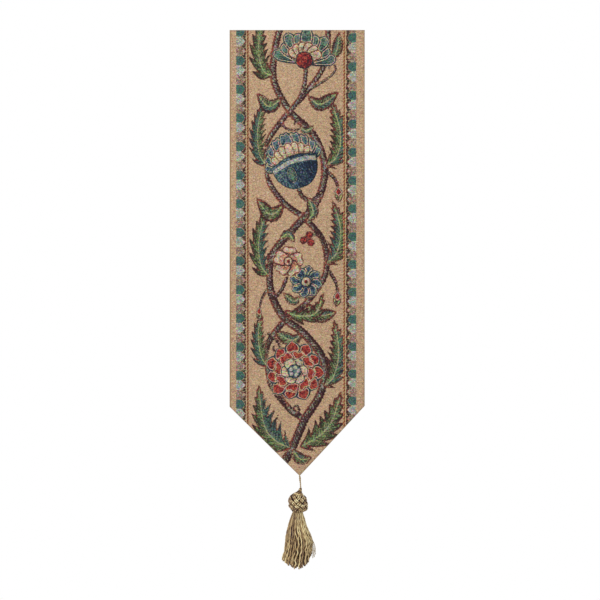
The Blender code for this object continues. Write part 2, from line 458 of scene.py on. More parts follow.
def makeHanging():
    bm = cutStrip()
    # each point keeps its place on the cloth laid flat, and its distance from the fold
    flat = bm.verts.layers.float_vector.new("clothFlat")
    for vert in bm.verts:
        vert[flat] = (vert.co.x, -vert.co.z, fromEdge(vert.co))
    turnHem(bm, flat)
    for vert in bm.verts:
        vert.co.y += backOf(vert.co)
    bmesh.ops.recalc_face_normals(bm, faces=bm.faces[:])
    spot = Vector(hanging["frontSpot"])
    middle = min(bm.faces, key=lambda face: (face.calc_center_median() - spot).length)
    if middle.normal.y > 0:
        bmesh.ops.reverse_faces(bm, faces=bm.faces[:])
    print("cloth grid:", len(bm.verts), "points")
    return keepMesh("hanging", bm)


# artwork: each yarn is a field over the cloth, above zero where that yarn shows; the loom's
# threads then cut its edges into steps
unlaid = -30.0  # a yarn's field where it isn't laid
noLeaf = 20.0  # distance from a vein where there is none
farOff = 60.0  # distance from a path beyond its reach
markReach = 1.6  # how far outside a shape its tone and the like are kept


def blankCloth(x, h):
    cloth = {"x": x, "h": h, "yarns": {name: np.full(x.shape, unlaid) for name in weave["yarns"]}}
    for key, value in (("tone", 0.5), ("across", noLeaf), ("along", 0.0), ("halo", 0.0)):
        cloth[key] = np.full(x.shape, value)
    return cloth


# lays one shape over what is there: a rim of its own yarn round a filling, with marks that the
# weave reads later, such as its tone, and a pale line between rim and filling where it has a halo
def lay(cloth, yarn, inside, rim=0.0, rimYarn="rim", halo=0.0, **marks):
    yarns = cloth["yarns"]
    near = inside > unlaid
    for field in yarns.values():
        field[near] = np.minimum(field[near], -inside[near])
    if np.any(rim):
        yarns[rimYarn] = np.maximum(yarns[rimYarn], inside)
    yarns[yarn] = np.maximum(yarns[yarn], inside - rim)
    close = inside > -markReach
    for key, value in {"halo": halo, **marks}.items():
        cloth[key] = np.where(close, value, cloth[key])


def smoothPath(points, perSpan=10):
    path = np.array(points, float)
    path = np.vstack([2 * path[0] - path[1], path, 2 * path[-1] - path[-2]])
    t = np.linspace(0, 1, perSpan, endpoint=False)[:, None]
    spans = []
    for a, b, c, d in zip(path, path[1:], path[2:], path[3:]):
        bend = 2 * b + (c - a) * t + (2 * a - 5 * b + 4 * c - d) * t**2 + (3 * b - a - 3 * c + d) * t**3
        spans.append(0.5 * bend)
    return np.vstack(spans + [path[-2][None]])


# nearest place on a path for each point: signed distance to its side, how far along it lies, and
# the path's length
def followPath(cloth, path, reach):
    x, h = cloth["x"], cloth["h"]
    side = np.full(x.shape, farOff)
    along = np.zeros(x.shape)
    low, high = path.min(0) - reach, path.max(0) + reach
    near = (x > low[0]) & (x < high[0]) & (h > low[1]) & (h < high[1])
    px, ph = x[near], h[near]
    bestSide = np.full(px.shape, farOff)
    bestAlong = np.zeros(px.shape)
    start = 0.0
    for a, b in zip(path, path[1:]):
        step = b - a
        length = math.hypot(*step)
        t = np.clip(((px - a[0]) * step[0] + (ph - a[1]) * step[1]) / length**2, 0, 1)
        dx = px - a[0] - t * step[0]
        dh = ph - a[1] - t * step[1]
        away = np.hypot(dx, dh)
        closer = away < np.abs(bestSide)
        bestSide = np.where(closer, away * np.where(step[0] * dh < step[1] * dx, -1, 1), bestSide)
        bestAlong = np.where(closer, start + t * length, bestAlong)
        start += length
    side[near], along[near] = bestSide, bestAlong
    return side, along, start


# where a point lies from a flower's middle: outwards along its heading, and to the side
def turnedTo(cloth, cx, ch, heading):
    dx, dh = cloth["x"] - cx, cloth["h"] - ch
    ux, uh = math.sin(heading), -math.cos(heading)
    return dx * ux + dh * uh, dh * ux - dx * uh


stemShape = {
    "rim": 2.6,
    "rimShare": 0.32,
    # knobs: how far apart, how high, and how far the two sides are out of step
    "knobPitch": 4.4,
    "knobs": 0.7,
    "knobShift": 1.1,
    "thinner": 0.2,
    # tone in its middle, how much one side is lit, and how it darkens down the cloth
    "tone": (0.57, 0.45, 0.0006),
}


# a stem with a knobbly dark rim, lit along one side
def layStem(cloth, points, startWidth, endWidth):
    side, along, length = followPath(cloth, smoothPath(points), startWidth + 4)
    half = (startWidth + (endWidth - startWidth) * along / length) / 2
    shift = np.where(side > 0, stemShape["knobShift"], 0)
    knobs = np.abs(np.sin(along * math.pi / stemShape["knobPitch"] + shift))
    half = half + stemShape["knobs"] * knobs - stemShape["thinner"]
    middle, lit, darker = stemShape["tone"]
    rim = min(stemShape["rim"], startWidth * stemShape["rimShare"])
    lay(cloth, "stem", half - np.abs(side), rim, tone=middle - lit * side / half - darker * cloth["h"],
        across=side, along=along)


leafKinds = {
    # how far apart the teeth are, how deep, how far they lean to the tip, where the leaf is widest
    "acanthus": (12.0, 0.36, 0.9, 0.42),
    "feather": (9.0, 0.34, 0.9, 0.4),
    "oval": (3.0, 0.05, 0.3, 0.5),
}
leafShape = {
    # rim: how wide at most, its share of the leaf's width, how uneven
    "rim": (2.9, 0.15, 0.22),
    "fullness": 0.8,
    # how far along a tooth its tip is, and how much of a tooth stands in
    "tooth": (0.7, 1.1),
    "crinkle": (0.4, 2.1),
    # tone at the vein and how much darker at the edge, for each half
    "tones": ((0.78, 0.5), (0.7, 0.4)),
}


# a leaf along its own vein, with teeth that lean to its tip, and a yarn for each half
def layLeaf(cloth, kind, points, width, yarns):
    pitch, depth, lean, belly = leafKinds[kind]
    tip, stepIn = leafShape["tooth"]
    crinkle, often = leafShape["crinkle"]
    (veinTone, darker), (otherTone, otherDarker) = leafShape["tones"]
    side, along, length = followPath(cloth, smoothPath(points), width * 0.8 + 6)
    away = np.abs(side)
    t = np.clip(along / length, 0, 1)
    grow = np.clip(t ** (math.log(0.5) / math.log(belly)), 0.0, 1.0)
    half = width / 2 * np.sin(np.pi * grow) ** leafShape["fullness"]
    wave = (along - lean * away) / pitch + 0.5 * (side > 0)
    saw = wave - np.floor(wave)
    tooth = np.where(saw < tip, saw / tip, (1 - saw) / (1 - tip))
    half = half * (1 + depth * (2 * tooth - stepIn))
    half = half + crinkle * np.sin(along * often + side) * np.sin(np.pi * t)
    pastEnds = (along <= 0) | (along >= length - 1e-6)
    inside = np.where(pastEnds, -np.maximum(away, 0.4), (half - away) * 0.9)
    edge = away / (width / 2)
    most, share, uneven = leafShape["rim"]
    rim = min(most, width * share) * (1 + uneven * np.sin(along * 1.9 + side * 0.7))
    lay(cloth, yarns[0], inside, rim, tone=veinTone - darker * edge, across=side, along=along)
    if yarns[1] != yarns[0]:
        lay(cloth, yarns[1], np.minimum(inside - rim, side), tone=otherTone - otherDarker * edge)


petalShape = {
    # how far along a round petal is widest, and how slowly it narrows to the tip and to its foot
    "round": (0.62, 0.38, 1.05),
    "notchWidth": 0.16,
    # pointed: how far out it is widest, how full it is, how wide
    "pointed": (1.15, 0.75, 1.05),
}


# one petal that points from a middle outwards, round or pointed at its end, some with a tip of
# another yarn
def layPetal(cloth, cx, ch, heading, inner, outer, width, yarn, rim=1.0, rimYarn="rim",
             tones=(0.0, 1.0), notch=0.0, tip=None, tipDepth=0.0, pointed=False):
    along, side = turnedTo(cloth, cx, ch, heading)
    t = np.clip((along - inner) / (outer - inner), 0, 1)
    if pointed:
        farther, fullness, wider = petalShape["pointed"]
        half = width / 2 * np.clip(np.sin(np.pi * t**farther), 0, 1) ** fullness * wider
        inside = np.minimum((half - np.abs(side)) * 0.88, along - inner)
        inside = np.where(along > outer, -np.hypot(side, along - outer), inside)
    else:
        widest, toTip, toFoot = petalShape["round"]
        bulge = np.sqrt(np.clip(1 - ((t - widest) / np.where(t > widest, toTip, toFoot)) ** 2, 0, 1))
        end = outer - along - notch * np.exp(-((side / (width * petalShape["notchWidth"])) ** 2))
        inside = np.minimum(np.minimum(width / 2 * bulge - np.abs(side), end), along - inner)
    tone = tones[0] + (tones[1] - tones[0]) * t
    lay(cloth, yarn, inside, rim, rimYarn, halo=1.0, tone=tone, across=side, along=along)
    if tip:
        cap = np.minimum(inside - rim, along - (outer - tipDepth) + 0.05 * side**2)
        lay(cloth, tip, cap, tone=0.35 + 0.5 * t)


# petals round a middle; how far they reach and how wide they are is in shares of the bloom's size
def layPetals(cloth, cx, ch, size, headings, inner, outer, width, *look, notch=0.0, tipDepth=0.0,
              **form):
    for number, heading in enumerate(headings):
        reach = outer[number % len(outer)]
        layPetal(cloth, cx, ch, heading, size * inner, size * reach, size * width, *look,
                 notch=size * notch, tipDepth=size * tipDepth, **form)


def allRound(count, turn):
    return [turn + math.tau * number / count for number in range(count)]


def fan(count, turn, spread):
    return [turn + spread * (number / (count - 1) - 0.5) for number in range(count)]


# from the outer petals of a fan to its middle one, which lies on top
def fromOutside(items):
    middle = (len(items) - 1) / 2
    return [items[n] for n in sorted(range(len(items)), key=lambda n: -abs(n - middle))]


def layDot(cloth, cx, ch, radius, yarn, rim=0.0, rimYarn="rim", tone=0.5):
    dx, dh = cloth["x"] - cx, cloth["h"] - ch
    lay(cloth, yarn, radius - np.hypot(dx, dh), rim, rimYarn, tone=tone + 0.35 * (-dx - dh) / radius / 2,
        across=dx, along=dh)


def layDots(cloth, cx, ch, headings, away, *look):
    for heading in headings:
        layDot(cloth, cx + math.sin(heading) * away, ch - math.cos(heading) * away, *look)


# five pale round petals round a seeded middle
def layBlossom(cloth, cx, ch, size, turn):
    layPetals(cloth, cx, ch, size, allRound(5, turn), 0.08, [1.0], 0.98, "pink", 2.0, "rim",
              (0.1, 1.05), notch=0.08, tip="cream", tipDepth=0.42)
    layDot(cloth, cx, ch, size * 0.32, "cream", 1.7)
    layDot(cloth, cx, ch, size * 0.12, "red", tone=0.4)


# pointed petals round a pale eye
def layAster(cloth, cx, ch, size, turn):
    layPetals(cloth, cx, ch, size, allRound(8, turn), 0.1, [1.0], 0.72, "blue", 1.6, "navy",
              (0.1, 0.9), pointed=True)
    layDot(cloth, cx, ch, size * 0.32, "cream", 1.3, "navy")
    layDot(cloth, cx, ch, size * 0.12, "red", tone=0.4)


# a full round bloom: two rings of petals and a scaled middle
def layRose(cloth, cx, ch, size, turn):
    outer = allRound(11, turn + math.pi / 11)
    layPetals(cloth, cx, ch, size, outer, 0.42, [1.02, 0.95], 0.52, "red", 1.9, "navy", pointed=True)
    layPetals(cloth, cx, ch, size, allRound(8, turn), 0.1, [0.72], 0.52, "red", 1.5, notch=0.05)
    layPetals(cloth, cx, ch, size, allRound(6, turn + 0.3), 0.0, [0.46], 0.42, "cream", 1.5, "navy",
              (0.1, 0.9))
    layDot(cloth, cx, ch, size * 0.24, "blue", 1.0, "navy")
    layDots(cloth, cx, ch, allRound(5, turn), size * 0.13, size * 0.055, "sky", 0.0, "navy", 0.8)


bellCup = {
    # shares of the bloom's size: where its cup is widest, half as wide and long as it is, its mouth
    # and its foot
    "shape": (0.1, 0.66, 0.72, 0.36, 0.6),
    "mouthBend": 0.011,
    "rim": 1.15,
    # band round the cup: from where to where, and how much it bends
    "band": (0.13, 0.24, 0.008),
    # a light spot: its size, how far off the middle it lies, how much longer than wide
    "glow": (4.6, 0.16, 0.5),
}


# a bell seen from the side: a fan of petals over a banded cup
def layBell(cloth, cx, ch, size, turn):
    reaches = [1.06 - 0.03 * number for number in (4, 4, 3, 3, 2, 2, 1, 1, 0)]
    headings = fromOutside(fan(9, turn, 2.4))
    layPetals(cloth, cx, ch, size, headings, 0.2, reaches, 0.42, "blue", 1.8, "navy", notch=0.05)
    layPetals(cloth, cx, ch, size, fromOutside(fan(7, turn, 1.8)), 0.1, [0.74], 0.27, "cream", 1.5,
              tones=(0.0, 0.9))
    up, side = turnedTo(cloth, cx, ch, turn)
    widest, halfWide, halfLong, mouth, foot = [size * share for share in bellCup["shape"]]
    mouth = mouth - bellCup["mouthBend"] * side**2
    half = halfWide * np.sqrt(np.clip(1 - ((up - widest) / halfLong) ** 2, 0, 1))
    cup = np.minimum(np.minimum(half - np.abs(side), mouth - up), (up + foot) * 0.9)
    rim = bellCup["rim"]
    lay(cloth, "blue", cup, rim, "navy", tone=0.4 - 0.6 * side / size, across=side, along=up)
    start, end, bend = bellCup["band"]
    bent = up + bend * side**2
    band = np.minimum(bent - size * start, size * end - bent)
    lay(cloth, "sky", np.minimum(cup - rim, band), tone=0.6)
    glowSize, off, longer = bellCup["glow"]
    glow = glowSize - np.hypot(side + size * off, (bent + size * off) * longer)
    lay(cloth, "jade", np.minimum(cup - 2.6, glow), tone=0.5 + 0.1 * glow)


# half of a many-petalled palmette
def layPalmette(cloth, cx, ch, size, turn):
    reaches = fromOutside([1.0 - 0.14 * (number % 2) for number in range(9)])
    headings = fromOutside(fan(9, turn, 2.9))
    layPetals(cloth, cx, ch, size, headings, 0.2, reaches, 0.42, "jade", 1.8, "navy")
    layPetals(cloth, cx, ch, size, fan(6, turn, 2.175), 0.1, [0.58], 0.32, "cream", 1.6,
              tones=(0.0, 0.9))
    layDot(cloth, cx, ch, size * 0.27, "red", 1.1, "navy")


def layBerries(cloth, cx, ch, size, turn):
    layDots(cloth, cx, ch, allRound(3, turn), size * 1.15, size, "red", 1.4, "rim", 0.6)


def layBud(cloth, cx, ch, size, turn):
    layPetals(cloth, cx, ch, size, [turn], -1.0, [1.4], 1.5, "red", 1.0, "navy", (0.1, 0.9),
              pointed=True)
    footX, footH = cx - math.sin(turn) * size, ch + math.cos(turn) * size
    layPetals(cloth, footX, footH, size, [turn - 0.55, turn + 0.55], -0.4, [1.5], 0.75, "leaf", 1.0,
              tones=(0.3, 0.8), pointed=True)


# side borders: rows of tabs that point to the field
sideBorder = {
    # for the left side, then the right one: where it starts, how deep a tab and the band are, how
    # far apart the tabs are, and how much closer they come further down
    -1: {"outer": -68.8, "start": 29.3, "depth": 9.8, "band": 11.4, "pitch": 10.765, "closer": 0.0},
    1: {"outer": 66.6, "start": 3.54, "depth": 9.6, "band": 11.8, "pitch": 10.922, "closer": 9.5e-5},
    "tabs": [
        # yarn, how much longer, flat end, slope beside it and its bend, how steep the field is there,
        # how pale its edge
        ("tabTeal", 0.0, 0.0, 0.2, 0.09, 1.0, 0.0),
        ("tabGrey", 0.0, 0.5, 0.9, 0.0, 0.78, 0.5),
        ("tabTaupe", 0.2, 0.6, 0.92, 0.0, 0.78, 0.36),
    ],
    "tabTone": 0.42,
    "bandTone": 0.35,
    # the notch between two tabs: how far in its middle lies, half its size, its tone
    "notch": (9.1, 1.6, 0.12),
}


def layBorder(cloth, hand):
    side = sideBorder[hand]
    pitch = side["pitch"]
    h = cloth["h"] + side["closer"] * cloth["h"] ** 2 - side["start"]
    inward = (cloth["x"] - side["outer"]) * -hand
    lay(cloth, "rim", np.minimum(inward, side["band"] - inward), tone=sideBorder["bandTone"])
    for number, (yarn, longer, flatEnd, slope, bend, steep, paler) in enumerate(sideBorder["tabs"]):
        middle = h - (number + 0.5) * pitch
        offset = middle - 3 * pitch * np.round(middle / (3 * pitch))
        beside = np.maximum(np.abs(offset) - flatEnd, 0)
        nose = (side["depth"] + longer - inward - slope * beside - bend * offset**2) * steep
        inside = np.minimum(np.minimum(pitch / 2 - np.abs(offset), inward), nose)
        # the grey and taupe tabs are outlined in their pale strand
        pale = np.clip((2.0 - np.minimum(nose, pitch / 2 + 0.6 - np.abs(offset))) / 1.4, 0, 1)
        lay(cloth, yarn, inside, tone=sideBorder["tabTone"] + paler * pale, across=nose, along=offset)
    # the notches between the tabs are darkest in the middle
    middle, size, tone = sideBorder["notch"]
    fromNotch = np.abs(h - pitch * np.round(h / pitch))
    lay(cloth, "leaf", size - np.maximum(fromNotch, np.abs(inward - middle)), tone=tone, across=noLeaf)


vineDesign = {
    # how far left and right of the middle the vine starts to draw in, and how much
    "clear": {-1: (33.0, 1.6), 1: (36.0, 1.1)},
    "stems": [
        # points down the cloth, width at the first and the last
        ([(-31, 290), (-43, 302), (-49, 316)], 4.6, 3.2),
        ([(31, 158), (43, 168), (48, 180)], 4.6, 3.2),
        ([(33, 268), (44, 284), (47, 298)], 4.6, 3.2),
        ([(8, 440), (-12, 424), (-31, 396), (-35, 360), (-16, 330), (12, 306), (32, 274), (30, 240),
          (10, 214), (-16, 194), (-35, 164), (-35, 130), (-14, 98), (12, 68), (31, 38), (35, 6),
          (30, -14)], 7.0, 6.0),
        ([(-26, 512), (-16, 490), (-4, 468), (8, 440), (27, 408), (30, 374), (10, 345), (-17, 322),
          (-31, 288), (-27, 252), (-2, 222), (23, 192), (31, 154), (18, 118), (-8, 92), (-26, 58),
          (-25, 22), (-16, -14)], 9.4, 7.4),
        ([(-31, 298), (-24, 300), (-17, 292), (-12, 280)], 4.4, 3.8),
        ([(14, 304), (8, 298), (9, 290)], 3.8, 3.4),
        ([(28, 186), (16, 192), (6, 188), (0, 176)], 5.0, 4.6),
        ([(-8, 92), (2, 78), (8, 62), (10, 40)], 5.0, 4.4),
        ([(30, 242), (24, 232), (15, 231)], 3.6, 3.2),
        ([(-29, 398), (-20, 414), (-8, 410)], 4.8, 4.4),
        # curled tendrils
        ([(-20, 104), (-10, 112), (2, 112), (6, 106), (1, 102), (-3, 106)], 2.8, 2.2),
        ([(-24, 400), (-10, 428), (-4, 434), (2, 430), (0, 424), (-4, 426)], 2.8, 2.2),
        ([(16, 66), (26, 60), (38, 52), (44, 44), (40, 38), (36, 43)], 3.0, 2.2),
        ([(-33, 342), (-22, 352), (-20, 360), (-26, 362), (-27, 357)], 2.8, 2.2),
    ],
    "leaves": [
        # kind, vein from its foot to its tip, width, yarns of its two halves
        ("acanthus", [(-7, 472), (-26, 462), (-42, 440), (-50, 400)], 36, ("leaf", "teal")),
        ("acanthus", [(3, 470), (22, 460), (39, 442), (51, 408)], 27, ("leaf", "leaf")),
        ("oval", [(-6, 472), (4, 484), (17, 482)], 13, ("teal", "leaf")),
        ("feather", [(29, 402), (42, 390), (48, 362), (42, 326)], 24, ("leaf", "teal")),
        ("feather", [(-35, 380), (-47, 364), (-50, 338), (-41, 322)], 27, ("teal", "leaf")),
        ("oval", [(6, 342), (-6, 350), (-26, 340)], 15, ("leaf", "teal")),
        ("oval", [(10, 308), (24, 322), (46, 318)], 17, ("teal", "leaf")),
        ("acanthus", [(-14, 316), (-2, 322), (20, 320), (30, 296)], 16, ("leaf", "leaf")),
        ("feather", [(32, 264), (46, 250), (50, 224), (40, 192)], 24, ("teal", "leaf")),
        ("acanthus", [(-31, 278), (-46, 264), (-49, 236), (-34, 200)], 30, ("leaf", "teal")),
        ("oval", [(-14, 196), (-30, 208), (-54, 190)], 19, ("leaf", "leaf")),
        ("feather", [(31, 154), (46, 142), (50, 116), (38, 78)], 24, ("leaf", "teal")),
        ("feather", [(-36, 154), (-49, 138), (-51, 110), (-38, 78)], 28, ("teal", "leaf")),
        ("oval", [(12, 74), (26, 84), (48, 70)], 16, ("leaf", "teal")),
        ("oval", [(-16, 76), (-32, 86), (-54, 72)], 17, ("teal", "leaf")),
        ("acanthus", [(-27, 52), (-43, 44), (-50, 20), (-42, -14)], 30, ("leaf", "leaf")),
        ("oval", [(34, 30), (45, 24), (49, 2)], 14, ("teal", "leaf")),
        ("oval", [(10, 216), (18, 206), (12, 188)], 13, ("leaf", "teal")),
        ("oval", [(-20, 236), (-10, 230), (-3, 240)], 10, ("teal", "leaf")),
        ("oval", [(-16, 296), (-4, 306), (4, 300)], 10, ("leaf", "teal")),
        ("oval", [(3, 108), (10, 114), (20, 108)], 9, ("leaf", "teal")),
    ],
    "blooms": [
        # maker, middle, size, turn
        (layRose, -3, 385, 34, 0.2),
        (layAster, 10, 284, 19, 0.2),
        (layBlossom, -10, 261, 18, 0.1),
        (layBell, -2, 155, 40, -0.35),
        (layPalmette, 8, 34, 37, 0.1),
        (layBerries, 12, 236, 4.4, 0.3),
        (layBud, -49, 321, 6.4, 0.1),
        (layBud, 48, 186, 6.4, -0.1),
        (layBud, 46, 304, 6.4, 0.1),
    ],
}


def weaveDesign(cloth):
    # the vine draws in beside the borders, more so at the left
    x = cloth["x"]
    for hand, (free, squeeze) in vineDesign["clear"].items():
        cloth["x"] = cloth["x"] + hand * (squeeze - 1) * np.maximum(hand * x - free, 0)
    for stem in vineDesign["stems"]:
        layStem(cloth, *stem)
    for leaf in vineDesign["leaves"]:
        layLeaf(cloth, *leaf)
    for layBloom, *place in vineDesign["blooms"]:
        layBloom(cloth, *place)
    cloth["x"] = x
    layBorder(cloth, -1)
    layBorder(cloth, 1)


# stores the painted cloth on the mesh as three numbers to an attribute
attributeSets = {
    "clothA": ("rim", "navy", "stem"),
    "clothB": ("leaf", "teal", "red"),
    "clothC": ("pink", "blue", "sky"),
    "clothD": ("cream", "tabTeal", "tabGrey"),
    "clothE": ("tabTaupe", "jade", "tone"),
    "clothF": ("across", "along", "halo"),
}


def paintCloth(piece):
    mesh = piece.data
    place = np.zeros(len(mesh.vertices) * 3, np.float32)
    mesh.attributes["clothFlat"].data.foreach_get("vector", place)
    place = place.reshape(-1, 3).astype(float)
    cloth = blankCloth(place[:, 0], place[:, 1])
    weaveDesign(cloth)
    fields = {**cloth, **cloth["yarns"]}
    for label, names in attributeSets.items():
        values = np.stack([fields[name] for name in names], axis=1).astype(np.float32)
        mesh.attributes.new(label, "FLOAT_VECTOR", "POINT").data.foreach_set("vector", values.ravel())
    print("design woven over", len(place), "points")


# the weave: sizes in millimetres, and the colours of each yarn from its dark to its light strand
weave = {
    # width and pitch of a thread, of a tuft that takes one shade, and of a thicker weft
    "thread": (0.78, 0.5),
    "tuft": (1.56, 1.0),
    "weft": (2.5, 0.95),
    "rib": 2.0,
    # how far the shade moves with the thread, the tuft and the weft
    "threadSpread": 0.75,
    "weftSpread": 0.18,
    "tuftSpread": 0.74,
    "groundTuft": 0.12,
    "motifThread": 0.5,
    "twist": 0.22,
    # how much the streaks show on straight and on slanted floats, and the ground's own level
    "streakSpread": (1.5, 1.7),
    "groundLevel": -0.01,
    # how round a thread is across and along, then what its crown, the ribs and chance add to it
    "crown": (0.4, 0.7),
    "rise": (0.8, 0.12, 0.25),
    # yarns with uneven edges, and how uneven by tuft and by the twist along them
    "jagged": ("rim", "stem"),
    "jag": 0.7,
    "scallop": 0.22,
    # how much the dye varies on the ground and on the motifs, by thread and by tuft
    "dyeSpread": (0.44, 0.9),
    "tuftDye": (0.05, 0.56),
    "rowSpread": 0.1,
    "ribTone": (3.38, 0.028),
    # painted shade between the threads and painted light on them
    "gapShade": (0.7, 1.06),
    "gapDepth": 0.7,
    "bump": (0.7, 0.16),
    "motifRise": 0.45,
    "roughness": (0.95, 0.78),
    "surface": {"Sheen Weight": 0.12, "Sheen Roughness": 0.5, "Specular IOR Level": 0.25},
    "step": 0.6,
    "ground": ((151, 117, 94), (185, 147, 121), (193, 168, 127), (221, 188, 163)),
    "groundPlaces": (0.0, 0.24, 0.5, 0.8),
    # darker towards the fold, partly a yellower tone of the yarn and partly painted shade where the
    # cloth turns over: its colour, how much of it, where it starts and where it is full
    "fold": ((150, 124, 92), 0.5, 1.8, 0.4),
    # painted shade of the fold that turns away at the left, as a darker line: its middle, width, colour
    # and strength
    "leftFoldShade": (-75.15, 1.3, (146, 119, 86), 0.85),
    # how each yarn's shades run; the others run straight
    "runs": {
        "rim": "corded",
        "stem": "twisted",
        "leaf": "slanted",
        "teal": "slanted",
        "tabTeal": "plain",
        "tabGrey": "plain",
        "tabTaupe": "plain",
    },
    "yarns": {
        "rim": ((48, 20, 25), (66, 34, 36), (82, 46, 42), (130, 68, 54)),
        "navy": ((18, 23, 30), (28, 40, 50), (42, 54, 62), (60, 76, 78)),
        "stem": ((54, 30, 32), (86, 52, 46), (90, 80, 70), (112, 111, 101), (158, 150, 134)),
        "leaf": ((60, 34, 32), (41, 46, 33), (59, 69, 47), (74, 84, 55), (121, 131, 90)),
        "teal": ((56, 36, 38), (30, 52, 53), (48, 76, 72), (90, 112, 96)),
        "jade": ((54, 40, 44), (40, 66, 65), (60, 90, 84), (108, 128, 111)),
        "red": ((46, 22, 34), (100, 25, 29), (134, 32, 33), (170, 78, 62)),
        "pink": ((136, 70, 60), (172, 114, 92), (186, 142, 116), (202, 174, 146)),
        "blue": ((17, 27, 44), (31, 50, 71), (49, 73, 90), (102, 122, 121)),
        "sky": ((84, 104, 113), (124, 136, 133), (158, 160, 148), (188, 184, 166)),
        "cream": ((136, 108, 88), (172, 150, 122), (190, 170, 140), (204, 188, 158)),
        "tabTeal": ((50, 80, 76), (65, 100, 92), (84, 116, 104)),
        "tabGrey": ((130, 133, 125), (152, 154, 145), (190, 188, 170)),
        "tabTaupe": ((112, 88, 76), (142, 118, 104), (178, 158, 136)),
    },
    # faint arcs across the taupe tabs
    "arcs": (1.5, 0.14),
    "vein": (154, 160, 115),
    # a vein and a pale line miss a few of their threads
    "missed": 0.15,
    "rungShare": 0.3,
    "haloed": ("red", "blue", "jade"),
    "haloWidth": 0.62,
    "halo": (194, 176, 148),
}


# thread crossings: a random number for each, a shift for the design's edges, their height and dye
def threadGroup():
    group, inner, outer = newGroup("thread crossings", {"X": 0.0, "H": 0.0, "Width": 0.8, "Pitch": 0.58},
                                   ("Pick", "Shift", "Height"), ("Dye",))
    down = calc("DIVIDE", inner["H"], inner["Pitch"])
    row = calc("FLOOR", down)
    beside = add(calc("DIVIDE", inner["X"], inner["Width"]), times(calc("MODULO", row, 2.0), 0.5))
    column = calc("FLOOR", beside)
    noises = {}
    for label, depth in (("Pick", 0.0), ("Shift", 7.5)):
        noises[label] = nodeFor("TexWhiteNoise", [joinAxes(column, row, depth)]).outputs
        feed(outer[label], noises[label]["Value"])
    feed(outer["Dye"], noises["Shift"]["Color"])
    # each float of yarn is round, and lower where it dives under its neighbours
    across = calc("SINE", times(calc("FRACT", beside), math.pi))
    along = calc("SINE", times(calc("FRACT", down), math.pi))
    acrossPower, alongPower = weave["crown"]
    crown = times(calc("POWER", across, acrossPower), calc("POWER", along, alongPower))
    ribs = calc("SINE", times(inner["H"], math.tau / weave["rib"]))
    parts = zip((crown, ribs, noises["Pick"]["Value"]), weave["rise"])
    feed(outer["Height"], add(*[times(part, share) for part, share in parts]))
    return group


# whether a yarn shows: its field's edge, moved a little for each thread
def shownGroup():
    inputs = {"Field": 0.0, "Shift": 0.5, "Step": 0.7}
    group, inner, outer = newGroup("yarn that shows", inputs, ["Shown"])
    moved = times(minus(inner["Shift"], 0.5), inner["Step"])
    feed(outer["Shown"], isOver(add(inner["Field"], moved), 0.0))
    return group


# streaks of the floats that run along petals and stems, and slantwise from a leaf's vein: how fine
# they are across and along, how steeply they leave the vein, and how wide it is
streakLook = {
    "straight": (0.6, 0.14),
    "slant": 1.1,
    "slanted": (0.34, 0.08),
    "vein": 0.8,
    # rungs beside the vein: how close, how thick, and from where to where
    "rungs": (1.6, 0.45, 1.1, 4.6),
    "twist": (1.75, 1.5),
}


def streakGroup():
    group, inner, outer = newGroup("streaks", {"Across": 0.0, "Along": 0.0},
                                   ("Straight", "Slanted", "Vein", "Rungs", "Twist"))
    across, along = inner["Across"], inner["Along"]
    off = calc("ABSOLUTE", across)
    slant = minus(along, times(off, streakLook["slant"]))
    for label, first, second in (("Straight", across, along), ("Slanted", slant, off)):
        fine, coarse = streakLook[label.lower()]
        feed(outer[label], noiseAt(joinAxes(times(first, fine), times(second, coarse)), 1.0))
    feed(outer["Vein"], isUnder(off, streakLook["vein"]))
    close, thick, start, end = streakLook["rungs"]
    rung = isOver(calc("SINE", times(slant, close)), thick)
    feed(outer["Rungs"], times(rung, isOver(off, start), isUnder(off, end)))
    alongTurn, acrossTurn = streakLook["twist"]
    feed(outer["Twist"], calc("SINE", add(times(along, alongTurn), times(across, acrossTurn))))
    return group


groups = {"threads": threadGroup(), "shown": shownGroup(), "streaks": streakGroup()}

# the twisted lines that part the borders from the field, with a pale line beside each
cordLines = {
    "red": (146, 64, 48),
    "pale": (182, 152, 100),
    "pitch": 3.88,
    "slant": 1.2,
    "redShare": 0.69,
    # how far it reaches from its middle to the far side and to the pale line
    "reach": (-1.1, 1.0),
    # painted shade along one side of each twisted line
    "shade": (206, 196, 196),
    "lineColour": (196, 173, 131),
    "lineWidth": 0.84,
    "jitter": 0.3,
    "places": [
        # middle of the twisted line, middle of the pale line beside it, where its painted shade starts
        (-55.75, -57.0, -0.8),
        (53.1, 54.6, 0.1),
    ],
}


def addCordLines(colour, x, h, threads):
    pick = threads["Pick"]
    x = add(x, times(minus(threads["Shift"], 0.5), cordLines["jitter"]))
    turn = calc("FRACT", calc("DIVIDE", add(h, times(x, cordLines["slant"])), cordLines["pitch"]))
    red = isUnder(add(turn, times(pick, 0.3)), cordLines["redShare"])
    farSide, nearSide = cordLines["reach"]
    for middle, lineX, shadeFrom in cordLines["places"]:
        fromLine = calc("ABSOLUTE", minus(x, lineX))
        onLine = times(isUnder(fromLine, cordLines["lineWidth"] / 2), isOver(pick, weave["missed"]))
        colour = blendColour(onLine, colour, tint(*cordLines["lineColour"]))
        inward = times(minus(x, middle), math.copysign(1.0, lineX - middle))
        twisted = blendColour(red, tint(*cordLines["pale"]), tint(*cordLines["red"]))
        # painted shade over one side of the twisted line
        inPaintedShade = isOver(add(inward, times(pick, 0.25)), shadeFrom)
        twisted = blendColour(inPaintedShade, twisted, tint(*cordLines["shade"]), how="MULTIPLY")
        onCord = times(isOver(inward, farSide), isUnder(inward, nearSide))
        colour = blendColour(onCord, colour, twisted)
    return colour


# factors round one for red, green and blue
def dyeRange(dye, spread):
    node = dye.id_data.nodes.new("ShaderNodeMapRange")
    node.data_type = "FLOAT_VECTOR"
    for number, value in ((6, dye), (9, (1 - spread / 2,) * 3), (10, (1 + spread / 2,) * 3)):
        feed(node.inputs[number], value)
    return node.outputs[1]


